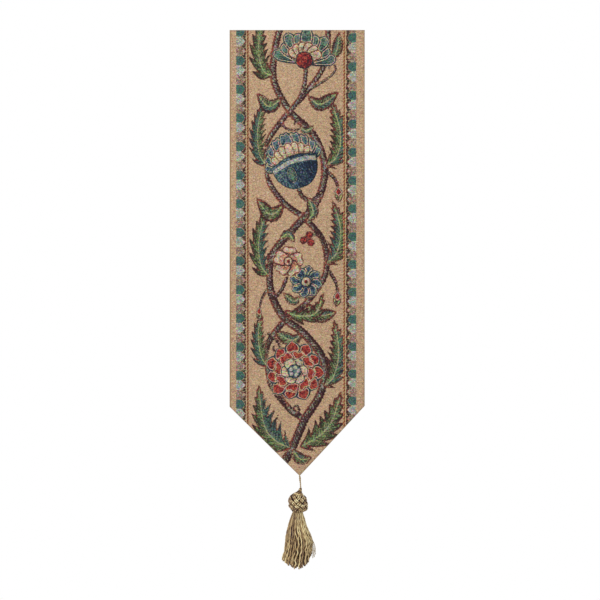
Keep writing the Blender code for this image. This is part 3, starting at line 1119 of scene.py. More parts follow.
# how light the floats are, by the way they run
def floatLevels(fields, streaks, pick, tuft):
    jitter = times(minus(pick, 0.5), weave["motifThread"])
    base = add(fields["tone"], jitter, times(tuft, weave["tuftSpread"]))
    twist = times(streaks["Twist"], weave["twist"])
    straight, slanted = [
        times(minus(streaks[label], 0.5), spread)
        for label, spread in zip(("Straight", "Slanted"), weave["streakSpread"])
    ]
    return {
        "straight": add(base, straight),
        "slanted": add(base, slanted),
        "twisted": add(base, twist, straight),
        "corded": add(base, twist),
        "plain": add(fields["tone"], jitter, jitter),
    }


# one yarn's colour, with its arcs, its veins or the pale line inside a petal's rim
def dyedYarn(name, colours, level, fields, streaks, pick):
    if name == "tabTaupe":
        often, much = weave["arcs"]
        level = add(level, times(calc("SINE", times(fields["across"], often)), much))
    dyed = shades(level, colours, stepped=True)
    if name in ("leaf", "teal"):
        for line, share in (("Vein", isOver(pick, weave["missed"])), ("Rungs", weave["rungShare"])):
            dyed = blendColour(times(streaks[line], share), dyed, tint(*weave["vein"]))
    if name in weave["haloed"]:
        halo = times(isUnder(fields[name], weave["haloWidth"]), isOver(fields["halo"], 0.5))
        dyed = blendColour(halo, dyed, tint(*weave["halo"]))
    return dyed


# dyed yarn laid in the loom: every yarn's colour over the ground, from the painted fields
def clothColour(tree, yarns, look):
    x, h, _ = readAttribute(tree, "clothFlat")
    fields = {}
    for label, names in attributeSets.items():
        fields.update(zip(names, readAttribute(tree, label)))
    threads, tufts, wefts = [
        useGroup(tree, groups["threads"], X=x, H=h, Width=weave[size][0], Pitch=weave[size][1])
        for size in ("thread", "tuft", "weft")
    ]
    streaks = useGroup(tree, groups["streaks"], Across=fields["across"], Along=fields["along"])
    pick = threads["Pick"]
    tuft = minus(tufts["Pick"], 0.5)
    level = add(times(pick, weave["threadSpread"]), times(wefts["Pick"], weave["weftSpread"]),
                weave["groundLevel"], times(tuft, weave["groundTuft"]))
    colour = shades(level, look["ground"], stepped=True, places=weave["groundPlaces"])
    levels = floatLevels(fields, streaks, pick, tuft)
    raised = None
    for name, colours in yarns.items():
        level = levels[weave["runs"].get(name, "straight")]
        dyed = dyedYarn(name, colours, level, fields, streaks, pick)
        field = fields[name]
        if name in weave["jagged"]:
            field = add(field, times(tuft, weave["jag"]), times(streaks["Twist"], weave["scallop"]))
        edges = {"Field": field, "Shift": threads["Shift"], "Step": look["step"]}
        shown = useGroup(tree, groups["shown"], **edges)["Shown"]
        colour = blendColour(shown, colour, dyed)
        raised = shown if raised is None else calc("MAXIMUM", raised, shown)
    colour = addCordLines(colour, x, h, threads)
    # no two threads took the dye alike, least of all in the motifs
    for dye, spreads in ((threads["Dye"], weave["dyeSpread"]), (tufts["Dye"], weave["tuftDye"])):
        colour = darken(colour, blendColour(raised, *[dyeRange(dye, spread) for spread in spreads]))
    # some rows of weft are lighter, and the ribs catch a little light
    ribPitch, ribTone = weave["ribTone"]
    rib = times(calc("SINE", times(h, math.tau / ribPitch)), ribTone)
    colour = darken(colour, add(times(minus(wefts["Shift"], 0.5), weave["rowSpread"]), rib, 1.0))
    # painted shade in the gaps between the threads, and painted light on their crowns
    colour = darken(colour, remap(threads["Height"], *weave["gapShade"], end=weave["gapDepth"]))
    return colour, threads, raised


def finishCloth(shader, colour, threads, raised):
    feed(shader.inputs["Base Color"], colour)
    addBump(shader, add(threads["Height"], times(raised, weave["motifRise"])), *weave["bump"])
    feed(shader.inputs["Roughness"], remap(threads["Height"], *weave["roughness"]))
    feedAll(shader, weave["surface"])


def tapestryMaterial():
    material, tree, shader = newMaterial("tapestry")
    colour, threads, raised = clothColour(tree, weave["yarns"], weave)
    x, _, edge = readAttribute(tree, "clothFlat")
    # painted shade, with the yarn's slightly yellower tone, darkens the cloth towards its fold
    foldShadeColour, share, start, full = weave["fold"]
    nearFoldShade = remap(calc("ABSOLUTE", edge), 0.0, share, start, full)
    colour = blendColour(nearFoldShade, colour, tint(*foldShadeColour))
    # painted shade: a darker line where the fold at the left turns away
    lineX, wide, lineColour, strength = weave["leftFoldShade"]
    onLine = isUnder(calc("ABSOLUTE", minus(x, lineX)), wide / 2)
    colour = blendColour(times(onLine, strength), colour, tint(*lineColour))
    finishCloth(shader, colour, threads, raised)
    return material


# the wrong side: the same design in floats, with the ground's yarn where the motifs are
reverse = {
    "ground": ((126, 102, 84), (154, 128, 104), (164, 140, 110), (186, 162, 134)),
    "step": 0.96,
    # every yarn's colour is mixed with the ground's: the ground's share and colour
    "veil": (0.55, (186, 160, 132)),
    # coloured floats that pass behind the ground in loose rows, and their share
    "floats": ((96, 72, 64), (104, 108, 86), (158, 136, 114), (124, 84, 70)),
    "floatPlaces": (0.0, 0.42, 0.5, 0.58),
    "floatShare": 0.6,
    "floatOver": 0.45,
    "rows": (0.05, 0.85),
}


def reverseMaterial():
    material, tree, shader = newMaterial("tapestry reverse")
    share, veil = reverse["veil"]
    veiled = {}
    for name, colours in weave["yarns"].items():
        veiled[name] = (1 - share) * np.array(colours) + share * np.array(veil)
    colour, threads, raised = clothColour(tree, veiled, reverse)
    x, h, _ = readAttribute(tree, "clothFlat")
    acrossRows, downRows = reverse["rows"]
    rows = noiseAt(joinAxes(times(x, acrossRows), times(h, downRows)), 1.5)
    floats = shades(rows, reverse["floats"], stepped=True, places=reverse["floatPlaces"])
    coloured = isOver(threads["Pick"], reverse["floatOver"])
    behind = times(minus(1.0, raised), coloured, reverse["floatShare"])
    finishCloth(shader, blendColour(behind, colour, floats), threads, raised)
    return material


def finishHanging():
    cloth = makeHanging()
    paintCloth(cloth)
    cloth.data.materials.append(tapestryMaterial())
    cloth.data.materials.append(reverseMaterial())
    solid = cloth.modifiers.new("cloth thickness", "SOLIDIFY")
    solid.thickness = hanging["thick"] * mm
    solid.offset = 0.0
    solid.use_even_offset = True
    solid.use_quality_normals = True
    solid.material_offset = 1
    solid.material_offset_rim = 1
    dress(cloth, "tapestry_panel")
    return cloth


# lustrous yarn: plies that wind round it, from the attributes that growYarns leaves
woundLook = {
    "level": 0.31,
    # fibres: how close round the yarn and along it, how far apart two yarns are, how strong
    "fibre": (1.6, 0.25, 90.0),
    "fibreShade": 0.35,
    "fibreHeight": 0.4,
    # the slow drift of a yarn's own shade: how close along it, how far apart two yarns are, how much
    "drift": (0.16, 57.0, 0.9),
    "lotTurns": 7.0,
    # where round a yarn its crest starts, above which it takes painted light and below which painted
    # shade
    "crestFrom": 0.6,
    "bump": 0.8,
    # how much duller its dark plies and glossier its light ones are
    "gloss": (0.15, -0.05),
    "surface": {"Specular IOR Level": 0.55, "Sheen Weight": 0.15},
}


def woundGroup():
    group, inner, outer = newGroup(
        "wound yarn",
        {"Round X": 1.0, "Round Y": 0.0, "Run": 0.0, "Lot": 0.5, "Painted Light": 0.0,
         "Pitch": 1.5, "Spread": 0.4, "Ply": 0.3, "Crest": 0.3},
        ("Level", "Height"),
    )
    roundX, run, lot = inner["Round X"], inner["Run"], inner["Lot"]
    turns = add(calc("DIVIDE", run, inner["Pitch"]), times(lot, woundLook["lotTurns"]))
    wound = add(calc("ARCTAN2", inner["Round Y"], roundX), times(turns, math.tau))
    ply = add(times(calc("SINE", wound), 0.5), 0.5)
    closeRound, closeAlong, apart = woundLook["fibre"]
    fibre = noiseAt(joinAxes(times(wound, closeRound), times(lot, apart), times(run, closeAlong)), 2.0)
    closeAlong, apart, much = woundLook["drift"]
    slow = noiseAt(joinAxes(times(run, closeAlong), times(lot, apart)), 1.0)
    ownShade = add(minus(lot, 0.5), times(minus(slow, 0.5), much))
    # painted light and shade: the crest of a yarn is lighter than its sides
    crest = times(minus(roundX, woundLook["crestFrom"]), inner["Crest"])
    level = add(times(minus(ply, 0.5), inner["Ply"]), woundLook["level"])
    level = add(level, times(fibre, woundLook["fibreShade"]), times(ownShade, inner["Spread"]))
    # adds the painted light and shade that each step of a yarn carries
    feed(outer["Level"], add(level, inner["Painted Light"], crest))
    feed(outer["Height"], add(ply, times(fibre, woundLook["fibreHeight"])))
    return group


groups["wound"] = woundGroup()


# a finish: dark to light shades, length of a turn, and how strongly the plies, the yarns' own
# differences and their painted crest light show
def yarnMaterial(finish):
    material, tree, shader = newMaterial(finish["name"])
    roundX, roundY, paintedLightShift = readAttribute(tree, "yarnRound")
    run, lot, _ = readAttribute(tree, "yarnRun")
    values = {"Round X": roundX, "Round Y": roundY, "Run": run, "Lot": lot, "Painted Light": paintedLightShift}
    for label in ("Pitch", "Spread", "Ply", "Crest"):
        values[label] = finish[label.lower()]
    look = useGroup(tree, groups["wound"], **values)
    feed(shader.inputs["Base Color"], shades(look["Level"], finish["shades"]))
    addBump(shader, look["Height"], woundLook["bump"], finish["bump"])
    dull, glossy = [finish["roughness"] + change for change in woundLook["gloss"]]
    feed(shader.inputs["Roughness"], remap(look["Level"], dull, glossy))
    feedAll(shader, woundLook["surface"])
    return material


# grows many yarns at once: a circle for each, then every step extrudes all of them and moves the
# new rings to their places. A yarn is a row of steps, each with its point, thickness, outward
# direction and the painted light it takes there, which is painted shade below zero
def growYarns(name, yarns, sides, seed, finish, node):
    table = np.array([[np.hstack(step) for step in yarn] for yarn in yarns])
    paths, radii, outward, paintedLightShift = table[..., :3], table[..., 3], table[..., 4:7], table[..., 7]
    count, steps = radii.shape
    ahead = np.gradient(paths, axis=1)
    ahead /= np.linalg.norm(ahead, axis=2, keepdims=True)
    beside = np.cross(ahead, outward)
    beside /= np.linalg.norm(beside, axis=2, keepdims=True)
    above = np.cross(beside, ahead)
    run = np.linalg.norm(np.diff(paths, axis=1), axis=2)
    run = np.concatenate([np.zeros((count, 1)), np.cumsum(run, axis=1)], axis=1)
    dice = random.Random(seed)
    lot = [dice.random() for _ in range(count)]
    turns = [(math.cos(math.tau * n / sides), math.sin(math.tau * n / sides)) for n in range(sides)]

    bm = bmesh.new()
    yarnLayer = bm.verts.layers.int.new("yarn")
    cornerLayer = bm.verts.layers.int.new("corner")
    roundLayer = bm.verts.layers.float_vector.new("yarnRound")
    runLayer = bm.verts.layers.float_vector.new("yarnRun")

    def place(vert, step):
        yarn = vert[yarnLayer]
        c, s = turns[vert[cornerLayer]]
        away = c * above[yarn, step] + s * beside[yarn, step]
        vert.co = paths[yarn, step] + radii[yarn, step] * away
        vert[roundLayer] = (c, s, paintedLightShift[yarn, step])
        vert[runLayer] = (run[yarn, step], lot[yarn], 0)

    for yarn in range(count):
        circle = bmesh.ops.create_circle(bm, cap_ends=True, segments=sides, radius=1)["verts"]
        for corner, vert in enumerate(circle):
            vert[yarnLayer] = yarn
            vert[cornerLayer] = corner
            place(vert, 0)
    rim = bm.edges[:]
    for step in range(1, steps):
        rim = growRim(bm, rim, lambda vert: place(vert, step))
    bmesh.ops.holes_fill(bm, edges=rim, sides=sides)
    dropLayer(bm.verts.layers.int, "yarn")
    dropLayer(bm.verts.layers.int, "corner")
    bmesh.ops.recalc_face_normals(bm, faces=bm.faces[:])
    piece = keepMesh(name, bm)
    piece.data.materials.append(yarnMaterial(finish))
    dress(piece, node)
    return piece


# value read at a height from a table that runs downwards
def atLevel(levels, z, column):
    return float(np.interp(-z, [-row[0] for row in levels], [row[column] for row in levels]))


# how far back the tassel hangs
cordDepth = (hanging["thick"] + hanging["foldGap"]) / 2
cordDepth += swellAt(hanging["pointX"], -hanging["pointDrop"])
toFront = (0, -1, 0)


# a point round the tassel's middle line, which the last column of a table gives
def roundPoint(levels, z, angle, wide):
    return (atLevel(levels, z, 2) + wide * math.cos(angle), cordDepth + wide * math.sin(angle), z)


def outFrom(angle, rise=0.0):
    return (math.cos(angle), math.sin(angle), rise)


# cord: two plies laid round each other, caught in the fold at the point
cordLook = {
    "plyRadius": 0.46,
    "layRadius": 0.36,
    "turn": 4.4,
    "route": [
        # height, times its usual size, middle
        (-493.0, 1.0, 2.8),
        (-503.3, 1.0, 2.8),
        (-504.6, 1.42, 3.15),
        (-507.4, 1.42, 3.2),
        (-509.6, 1.0, 3.45),
        (-512.0, 1.0, 3.75),
        (-517.0, 1.0, 3.95),
        (-521.0, 1.0, 3.8),
    ],
    "steps": 70,
    "finish": {
        "name": "cord yarn",
        "shades": ((104, 82, 54), (150, 124, 84), (190, 164, 120), (214, 192, 150)),
        "pitch": 1.1,
        "ply": 0.42,
        "roughness": 0.55,
        "spread": 0.25,
        "crest": 0.2,
        "bump": 0.1,
    },
}


def makeCord():
    levels = cordLook["route"]
    yarns = []
    for ply in range(2):
        yarn = []
        for z in np.linspace(levels[0][0], levels[-1][0], cordLook["steps"]):
            size = atLevel(levels, z, 1)
            angle = math.tau * (z / cordLook["turn"] + ply / 2)
            point = roundPoint(levels, z, angle, cordLook["layRadius"] * size)
            yarn.append((point, cordLook["plyRadius"] * size, toFront, 0))
        yarns.append(yarn)
    growYarns("tassel_cord_plies", yarns, 8, 3, cordLook["finish"], "tassel_cord")
    print("cord laid in", len(yarns), "plies")


# knot: the ball's outline, then two crossing sets of plaited bands round it
knotLook = {
    "levels": [
        # height, half width, middle
        (-517.0, 1.8, 3.8),
        (-519.5, 2.3, 3.3),
        (-521.8, 3.7, 2.0),
        (-523.0, 5.4, 0.9),
        (-525.2, 7.6, 0.4),
        (-528.8, 9.8, 0.8),
        (-533.1, 10.4, 0.6),
        (-536.9, 10.6, 1.4),
        (-539.2, 9.8, 2.0),
        (-541.4, 8.4, 2.1),
        (-543.2, 6.9, 1.2),
        (-544.3, 5.9, 0.5),
    ],
    "bands": 9,
    "turn": 31.0,
    "threads": 2,
    "threadRadius": 0.84,
    "threadGap": 1.86,
    # how far a thread rises and dives, where between the two it is level, how deep the plait sits
    "relief": (2.8, 0.55),
    "seat": 1.2,
    "steps": 54,
    "top": -522.0,
    "bottom": -544.0,
    # how far past the top and the bottom a thread may reach
    "past": (1.0, 0.6),
    # the share it keeps at its ends, and how soon it is full size from the top and the bottom
    "ends": (0.35, 5, 4),
    "thinnest": 0.75,
    # the half width under which threads draw closer, and the least share of their room they take
    "narrow": (9.0, 0.5),
    "lean": 0.9,
    "rise": 0.25,
    # x and height where the smooth upper left ends, and how softly
    "smoothSide": (-3.2, -532.5),
    "smoothReach": (1.2, 1.5),
    # painted shade over the smooth upper left
    "smoothShade": 0.1,
    # painted shade where a thread dives, and a painted highlight along the line where the light catches
    # it
    "sunkShade": 0.5,
    "spark": 0.34,
    "sparkReach": 1.8,
    "sparkAlong": ((6.5, -525.5), (-3.0, -534.5), (3.5, -536.0)),
    # its core, dark as painted shade in the gaps of the plait: from where to where in how many rows and
    # steps round, how deep it sits
    "core": (-519.5, -544.2, 22),
    "coreSteps": 40,
    "coreDepth": 3.3,
    "coreThinnest": 0.4,
    "coreShadeColour": (40, 22, 30),
    "coreRoughness": 0.9,
    # the twisted top: yarns, turns, steps, where it starts and ends, how deep it sits, and how thick
    # a yarn is at both ends
    "cone": (3, 1.5, 60, (-516.8, -524.0), 0.75, (0.5, 0.9)),
    "coneRise": 0.3,
    "finish": {
        "name": "knot yarn",
        # its lightest shade is the painted highlight on the crests and along the bright line
        "shades": ((44, 20, 32), (98, 64, 50), (176, 141, 88), (255, 246, 194)),
        "pitch": 5.2,
        "ply": 0.3,
        "roughness": 0.26,
        "spread": 0.22,
        "crest": 0.75,
        "bump": 0.1,
    },
    "coneFinish": {
        "name": "knot top yarn",
        "shades": ((60, 36, 36), (116, 84, 54), (178, 144, 90), (240, 214, 150)),
        "pitch": 1.3,
        "ply": 0.4,
        "roughness": 0.5,
        "spread": 0.6,
        "crest": 0.3,
        "bump": 0.12,
    },
}


# a painted highlight: how much brighter a thread is where the light catches the ball
def paintedKnotHighlight(x, z):
    place = Vector((x, z))
    spots = [Vector(spot) for spot in knotLook["sparkAlong"]]
    nearest = farOff
    for start, end in zip(spots, spots[1:]):
        share = (place - start).dot(end - start) / (end - start).length_squared
        nearest = min(nearest, (start.lerp(end, min(max(share, 0), 1)) - place).length)
    return knotLook["spark"] * math.exp(-((nearest / knotLook["sparkReach"]) ** 2))


# one step of a plaited thread; turning is 1 for a rising set and -1 for a falling one
def knotStep(turning, band, shift, z):
    levels, bands, turn = knotLook["levels"], knotLook["bands"], knotLook["turn"]
    top, bottom = knotLook["top"], knotLook["bottom"]
    along = bands * z / turn / 2
    around = turning * (band + 0.5 - along)
    over = 0.5 + 0.5 * math.sin(math.pi * (around + along)) * math.sin(math.pi * (around - along))
    if turning < 0:
        over = 1 - over
    wide = max(atLevel(levels, z, 1), 2.0)
    angle = math.tau * around / bands
    # on the upper left the threads of one set lie side by side over the other
    x = atLevel(levels, z, 2) + wide * math.cos(angle)
    smoothX, smoothZ = knotLook["smoothSide"]
    softX, softZ = knotLook["smoothReach"]
    smooth = 1 / (1 + math.exp((x - smoothX) / softX)) / (1 + math.exp((smoothZ - z) / softZ))
    over += ((1 if turning > 0 else 0) - over) * smooth
    # painted highlight where the light catches a raised thread, painted shade where it dives and over
    # the smooth upper left
    paintedLight = paintedKnotHighlight(x, z) * over - knotLook["sunkShade"] * (1 - over) ** 2
    paintedLight -= knotLook["smoothShade"] * smooth
    slope = math.atan2(turn * 2 / bands, math.tau * wide / bands)
    full, least = knotLook["narrow"]
    narrow = min(max(wide / full, least), 1.0)
    angle += shift * math.sin(slope) * narrow / wide
    height = z + shift * math.cos(slope) * turning * narrow * knotLook["lean"]
    pastTop, pastBottom = knotLook["past"]
    height = min(max(height, bottom - pastBottom), top + pastTop)
    # towards both ends the threads grow thinner and lie flatter
    kept, topReach, bottomReach = knotLook["ends"]
    fade = min(1.0, kept + (top - z) / topReach, kept + (z - bottom) / bottomReach)
    relief, level = knotLook["relief"]
    lift = (over - level) * relief * fade - knotLook["seat"]
    point = roundPoint(levels, height, angle, atLevel(levels, height, 1) + lift)
    thinnest = knotLook["thinnest"]
    thick = knotLook["threadRadius"] * (thinnest + (1 - thinnest) * fade) * narrow
    return point, thick, outFrom(angle, knotLook["rise"]), paintedLight


def makePlait():
    heights = np.linspace(knotLook["top"], knotLook["bottom"], knotLook["steps"])
    yarns = []
    for turning in (1, -1):
        for band in range(knotLook["bands"]):
            for thread in range(knotLook["threads"]):
                shift = (thread - (knotLook["threads"] - 1) / 2) * knotLook["threadGap"]
                yarns.append([knotStep(turning, band, shift, z) for z in heights])
    growYarns("tassel_knot_plait", yarns, 7, 5, knotLook["finish"], "tassel_knot")
    print("ball plaited with", len(yarns), "threads")


# a core under the plait, dark as painted shade, shows in the gaps
def makeCore():
    levels = knotLook["levels"]
    bm = bmesh.new()
    rows = np.linspace(*knotLook["core"])
    deep, thinnest = knotLook["coreDepth"], knotLook["coreThinnest"]
    wides = [max(atLevel(levels, z, 1) - deep, thinnest) for z in rows]
    spots = [(0, rows[0]), *zip(wides, rows), (0, rows[-1])]
    profile = [bm.verts.new((wide, 0, z)) for wide, z in spots]
    edges = [bm.edges.new(pair) for pair in zip(profile, profile[1:])]
    bmesh.ops.spin(bm, geom=profile + edges, cent=(0, 0, 0), axis=(0, 0, 1), angle=math.tau,
                   steps=knotLook["coreSteps"], use_merge=True)
    bmesh.ops.remove_doubles(bm, verts=bm.verts[:], dist=0.01)
    for vert in bm.verts:
        vert.co.x += atLevel(levels, vert.co.z, 2)
        vert.co.y += cordDepth
    bmesh.ops.recalc_face_normals(bm, faces=bm.faces[:])
    core = keepMesh("tassel_knot_core", bm)
    colour = tint(*knotLook["coreShadeColour"])
    core.data.materials.append(plainMaterial("knot core in painted shade", colour, knotLook["coreRoughness"]))
    dress(core, "tassel_knot")


# the twisted top, wound round the cord's end
def makeTop():
    levels = knotLook["levels"]
    plies, turns, steps, (start, end), deep, thicks = knotLook["cone"]
    rise = knotLook["coneRise"]
    yarns = []
    for ply in range(plies):
        yarn = []
        for share in np.linspace(0, 1, steps):
            z = start + (end - start) * share
            angle = math.tau * (share * turns + ply / plies)
            point = roundPoint(levels, z, angle, atLevel(levels, z, 1) - deep)
            yarn.append((point, np.interp(share, (0, 1), thicks), outFrom(angle, rise), 0))
        yarns.append(yarn)
    growYarns("tassel_knot_top", yarns, 8, 8, knotLook["coneFinish"], "tassel_knot")


# skirt: wavy two-ply strands all round, more strands behind them, and a filling dark with painted shade
skirtLook = {
    "levels": [
        # height, half width, middle
        (-541.5, 3.8, 0.6),
        (-544.6, 6.3, 0.4),
        (-551.0, 8.7, 0.3),
        (-557.0, 10.5, 0.1),
        (-564.0, 12.8, 0.5),
        (-571.0, 15.4, 1.6),
        (-579.0, 16.7, 2.0),
        (-586.0, 16.5, 1.2),
        (-593.0, 17.1, -0.1),
        (-600.0, 18.2, -1.2),
        (-609.0, 18.4, -1.4),
    ],
    "lowest": -609.5,
    # how much shorter, and how suddenly, the yarns are at the left and at the right side; then how
    # much shorter at the front and at the back
    "shortSides": ((12.0, 1.5), (15.0, 2.5)),
    "shortDeep": (2.0, 6.0),
    "uneven": 4.2,
    "layers": [
        # how many strands, plies of each, depth under the outline, how much lighter (below zero: painted
        # shade on the inner layers)
        (40, 2, 0.0, 0.02),
        (38, 1, 1.3, -0.24),
        (34, 1, 2.7, -0.42),
    ],
    # a strand's radius, and the most that it may take of its share of the way round
    "strandRadius": (0.9, 0.43),
    "strandTurn": (9.5, 14.0),
    "strandLay": 0.38,
    # how much darker, as painted shade, a ply is where it dives under the other
    "dive": 0.05,
    "steps": 112,
    "wave": (0.25, 0.65),
    "waveLength": (10.0, 18.0),
    # more waves, each with its strength and how much faster it runs: a short and a slow one
    # sideways, and one outwards
    "waves": ((0.5, 1.63), (0.3, 0.37), (0.35, 1.2)),
    "lean": 0.1,
    # how far an end curls away, and how suddenly
    "curl": (0.9, 7),
    # how unevenly the strands start round the tassel and lie in it, and how unevenly plies end
    "startUneven": 0.2,
    "sinkUneven": 0.8,
    "plyUneven": 1.2,
    # how far down the strands are fully spread, and how much of an inner layer's painted shade is gone
    # there
    "spreadReach": 50,
    "lighterBelow": 0.55,
    "deeperShorter": 0.05,
    # painted light and shade: the right side is lighter above and darker below: how much at which x,
    # round which height, how softly, and how much more below
    "sidePaintedLight": (0.11, 12, -577.0, 18, -1.4),
    "filling": [
        # share of the half width, how many yarns, their radius
        (0.15, 8, 1.2),
        (0.36, 18, 1.15),
        (0.57, 32, 1.0),
        (0.77, 46, 0.9),
    ],
    "fillUneven": 0.25,
    "fillSway": (0.7, 15.0),
    # how much of the filling's painted shade lifts towards the hem
    "fillLight": 0.4,
    "fillShorter": 2.0,
    "fillSteps": 40,
    "endRadius": 0.7,
    "finish": {
        "name": "skirt yarn",
        # its darkest shade is the painted shade of the gaps, its lightest the painted highlight on the
        # crests
        "shades": ((52, 28, 30), (132, 96, 59), (204, 173, 115), (255, 240, 184)),
        "pitch": 7.5,
        "ply": 0.14,
        "roughness": 0.36,
        "spread": 0.66,
        "crest": 0.66,
        "bump": 0.16,
    },
    "fillFinish": {
        "name": "filling yarn",
        # dark shades that stand for the painted shade inside the skirt
        "shades": ((48, 30, 30), (86, 62, 46), (132, 104, 70), (176, 148, 102)),
        "pitch": 2.6,
        "ply": 0.7,
        "roughness": 0.5,
        "spread": 0.4,
        "crest": 0.3,
        "bump": 0.4,
    },
    "wisps": [
        # loose yarns: x, height and depth down each
        [(13, -566, -5), (16.4, -573, -5.6), (19.2, -579, -5.2), (20.6, -585, -4.6), (20.2, -592, -4.4)],
        [(13, -569, -6), (16, -575, -6.2), (18.6, -580.5, -6), (19.3, -587, -5.2), (19, -593.5, -5)],
        [(13.5, -571, -3), (16.2, -577, -3.4), (18, -582, -3.6), (18.9, -588, -3.2), (19.6, -594.5, -3)],
        [(13.5, -574, -7), (16, -579, -7), (17.6, -584, -6.6), (18.2, -589, -6.4), (18, -595, -6)],
        [(14, -568, -1), (17, -574.5, -1), (19.8, -582, -1.2), (20, -588, -1.2), (21, -591, -1)],
        [(14, -577, 2), (16.2, -581, 2.4), (17.2, -586, 2.4), (17.8, -591, 2.2), (17.2, -596, 2)],
    ],
    "wispRadius": 0.27,
    "wispFinish": {
        "name": "wisp yarn",
        "shades": ((140, 120, 88), (180, 160, 120), (208, 192, 156), (228, 216, 188)),
        "pitch": 1.4,
        "ply": 0.3,
        "roughness": 0.5,
        "spread": 0.3,
        "crest": 0.1,
        "bump": 0.06,
    },
}


# where a yarn ends: the hem is rounded, shortest at the sides, then at the back
def skirtHem(angle, share, dice):
    side = share * math.cos(angle)
    deep = share * math.sin(angle)
    most, power = skirtLook["shortSides"][1 if side > 0 else 0]
    short = most * abs(side) ** power + skirtLook["shortDeep"][1 if deep > 0 else 0] * abs(deep) ** 3
    return skirtLook["lowest"] + short + dice.uniform(0, skirtLook["uneven"])


# painted light and shade across the skirt
def skirtPaintedLight(x, z):
    light, atX, middle, soft, most = skirtLook["sidePaintedLight"]
    return light * (x / atX) * max(most, min(1.0, (z - middle) / soft))


# the last step of a yarn is thinner
def cutEnd(yarn):
    point, thick, out, paintedLight = yarn[-1]
    return yarn[:-1] + [(point, thick * skirtLook["endRadius"], out, paintedLight)]


# what sets one strand apart from the others
def strandOwn(dice, layer, number):
    count, plies, depth, light = skirtLook["layers"][layer]
    uneven = skirtLook["startUneven"]
    angle = math.tau * (number + layer / 2 + dice.uniform(-uneven, uneven)) / count
    return {
        "number": number,
        "angle": angle,
        "end": skirtHem(angle, 1.0 - skirtLook["deeperShorter"] * depth, dice),
        "length": dice.uniform(*skirtLook["waveLength"]),
        "twist": dice.uniform(*skirtLook["strandTurn"]),
        "reach": dice.uniform(*skirtLook["wave"]),
        "phase": dice.random() * math.tau,
        "lean": dice.uniform(-1, 1) * skirtLook["lean"],
        "curl": dice.uniform(-1, 1) * skirtLook["curl"][0],
        "sink": depth + dice.uniform(0.0, skirtLook["sinkUneven"]),
        "room": math.tau / count,
        "plies": plies,
        "light": light,
    }


# one step of one of its plies
def strandStep(own, ply, z):
    levels, lay = skirtLook["levels"], skirtLook["strandLay"]
    widest, packed = skirtLook["strandRadius"]
    (ripple, faster), (drift, slower), (rise, riseRate) = skirtLook["waves"]
    below = min((levels[0][0] - z) / skirtLook["spreadReach"], 1.0)
    half = atLevel(levels, z, 1)
    radius = min(widest, packed * own["room"] * half)
    middle = half - radius - own["sink"] * min(1.0, 0.25 + below)
    turn = math.tau * z / own["length"] + own["phase"]
    wave = own["reach"] * below * (math.sin(turn) + ripple * math.sin(faster * turn + own["number"]))
    wave += drift * math.sin(turn * slower) + own["curl"] * below ** skirtLook["curl"][1]
    around = own["angle"] + wave / middle + own["lean"] * below
    wide = middle + rise * below * math.cos(turn * riseRate)
    wayRound, thick = around, radius
    # painted shade on the inner layers, less of it lower down
    paintedLight = own["light"] * (1 - skirtLook["lighterBelow"] * below**3)
    if own["plies"] > 1:
        # the two plies of an outer strand wind round each other
        wound = math.tau * (z / own["twist"] + ply / 2)
        wayRound += lay * radius * math.cos(wound) / middle
        wide += lay * radius * math.sin(wound)
        thick -= lay * radius
        # painted shade where the ply dives
        paintedLight += skirtLook["dive"] * math.sin(wound)
    point = roundPoint(levels, z, wayRound, wide)
    return point, thick, outFrom(around), paintedLight + skirtPaintedLight(point[0], z)


def skirtStrands(dice):
    top = skirtLook["levels"][0][0]
    yarns = []
    for layer, (count, plies, _, _) in enumerate(skirtLook["layers"]):
        for number in range(count):
            own = strandOwn(dice, layer, number)
            for ply in range(plies):
                tail = own["end"] + dice.uniform(0, skirtLook["plyUneven"])
                heights = np.linspace(top, tail, skirtLook["steps"])
                yarns.append(cutEnd([strandStep(own, ply, z) for z in heights]))
    return yarns


def skirtFilling(dice):
    levels = skirtLook["levels"]
    reach, length = skirtLook["fillSway"]
    uneven = skirtLook["fillUneven"]
    top = levels[0][0]
    yarns = []
    for share, count, fillRadius in skirtLook["filling"]:
        for number in range(count):
            angle = math.tau * (number + dice.uniform(-uneven, uneven)) / count
            end = skirtHem(angle, share, dice) + skirtLook["fillShorter"]
            phase = dice.random() * math.tau
            yarn = []
            for z in np.linspace(top, end, skirtLook["fillSteps"]):
                below = (top - z) / (top - end)
                wide = atLevel(levels, z, 1) * share
                sway = reach * below * math.sin(math.tau * z / length + phase)
                turn = angle + sway / max(wide, 3.0)
                thick = fillRadius * min(1.0, 0.45 + below)
                # the filling's painted shade lifts towards the hem
                paintedLight = skirtLook["fillLight"] * below**2
                yarn.append((roundPoint(levels, z, turn, wide), thick, outFrom(turn), paintedLight))
            yarns.append(cutEnd(yarn))
    return yarns


def makeSkirt():
    dice = random.Random(21)
    strands = skirtStrands(dice)
    filling = skirtFilling(dice)
    wisps = []
    for points in skirtLook["wisps"]:
        route = [(x, cordDepth + y, z) for x, z, y in smoothPath(points, 5)]
        wisps.append([(point, skirtLook["wispRadius"], toFront, 0) for point in route])
    for name, yarns, seed, look in (
        ("strands", strands, 13, "finish"),
        ("filling", filling, 17, "fillFinish"),
        ("wisps", wisps, 4, "wispFinish"),
    ):
        finish = skirtLook[look]
        growYarns("tassel_skirt_" + name, yarns, 5, seed, finish, "tassel_skirt")
    print("skirt of", len(strands), "plies,", len(filling), "inner yarns and", len(wisps), "wisps")


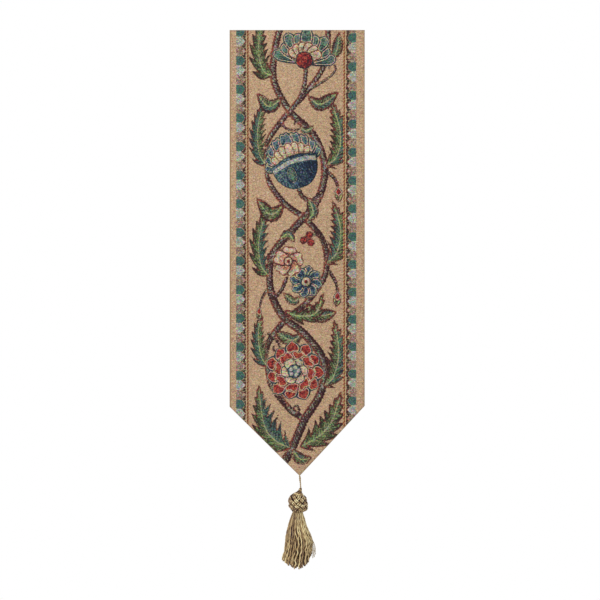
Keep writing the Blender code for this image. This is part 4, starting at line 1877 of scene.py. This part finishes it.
# stitches: a whipped thread over the hem's raw edge, and short ones across each mitre
stitchLook = {
    "pitch": 5.2,
    "slant": 1.5,
    "shift": 0.5,
    "uneven": 0.4,
    "radius": 0.27,
    "run": [
        # inset and depth over the raw edge
        (9.7, 2.2),
        (10.3, 2.56),
        (11.3, 2.6),
        (12.15, 2.25),
        (12.7, 1.35),
        (13.3, 0.86),
        (13.9, 0.6),
    ],
    # insets of the stitches across a mitre, half their length, their depth and how it falls away
    "mitre": (2.6, 5.2, 7.8, 10.4),
    "mitreHalf": 1.5,
    "mitreDepth": (2.58, 0.4),
    "mitreShift": 0.3,
    "mitreSlant": (0.25, 0.5),
    "finish": {
        "name": "hem thread",
        "shades": ((112, 92, 68), (152, 130, 98), (184, 162, 126), (206, 188, 154)),
        "pitch": 1.2,
        "ply": 0.4,
        "roughness": 0.6,
        "spread": 0.3,
        "crest": 0.2,
        "bump": 0.06,
    },
}


# one step of a stitch, on the back of the hanging as it lies
def stitchStep(place, depth):
    return (place.x, depth + backOf(place), place.z), stitchLook["radius"], (0, 1, 0), 0


def makeStitches():
    dice = random.Random(9)
    run, shift, uneven = stitchLook["run"], stitchLook["shift"], stitchLook["uneven"]
    last = len(run) - 1
    yarns = []
    for side, (start, end) in enumerate(insetSides(hanging["hem"])):
        along, inward = sideDirection(side), inwardOf(side)
        length = (end - start).length
        count = int(length / stitchLook["pitch"])
        for stitch in range(count):
            middle = start + along * (length * (stitch + 0.5) / count + dice.uniform(-shift, shift))
            middle -= inward * hanging["hem"]
            reach = dice.uniform(-uneven, uneven)
            lean = stitchLook["slant"] + dice.uniform(-uneven, uneven)
            yarn = []
            for step, (inset, depth) in enumerate(run):
                share = step / last - 0.5
                place = middle + inward * (inset + reach * abs(share) * 2) + along * lean * share
                yarn.append(stitchStep(place, depth))
            yarns.append(yarn)
    shift = stitchLook["mitreShift"]
    for corner, (inner, _) in enumerate(insetSides(hanging["hem"])):
        down = (inner - corners[corner]).normalized()
        for inset in stitchLook["mitre"]:
            middle = insetCorner(corner, inset + dice.uniform(-shift, shift))
            across = Vector((down.z, 0, -down.x)) + down * dice.uniform(*stitchLook["mitreSlant"])
            full, fall = stitchLook["mitreDepth"]
            yarn = []
            for step in range(last + 1):
                share = 2 * step / last - 1
                place = middle + across * share * stitchLook["mitreHalf"]
                yarn.append(stitchStep(place, full - fall * share**4))
            yarns.append(yarn)
    print("hem sewn with", len(yarns), "stitches")
    return growYarns("tapestry_panel_stitches", yarns, 5, 6, stitchLook["finish"],
                     "tapestry_panel")


setCamera()
setLamps()
setSurround()
setFloor()
cloth = finishHanging()
stitches = makeStitches()
makeCord()
makePlait()
makeCore()
makeTop()
makeSkirt()
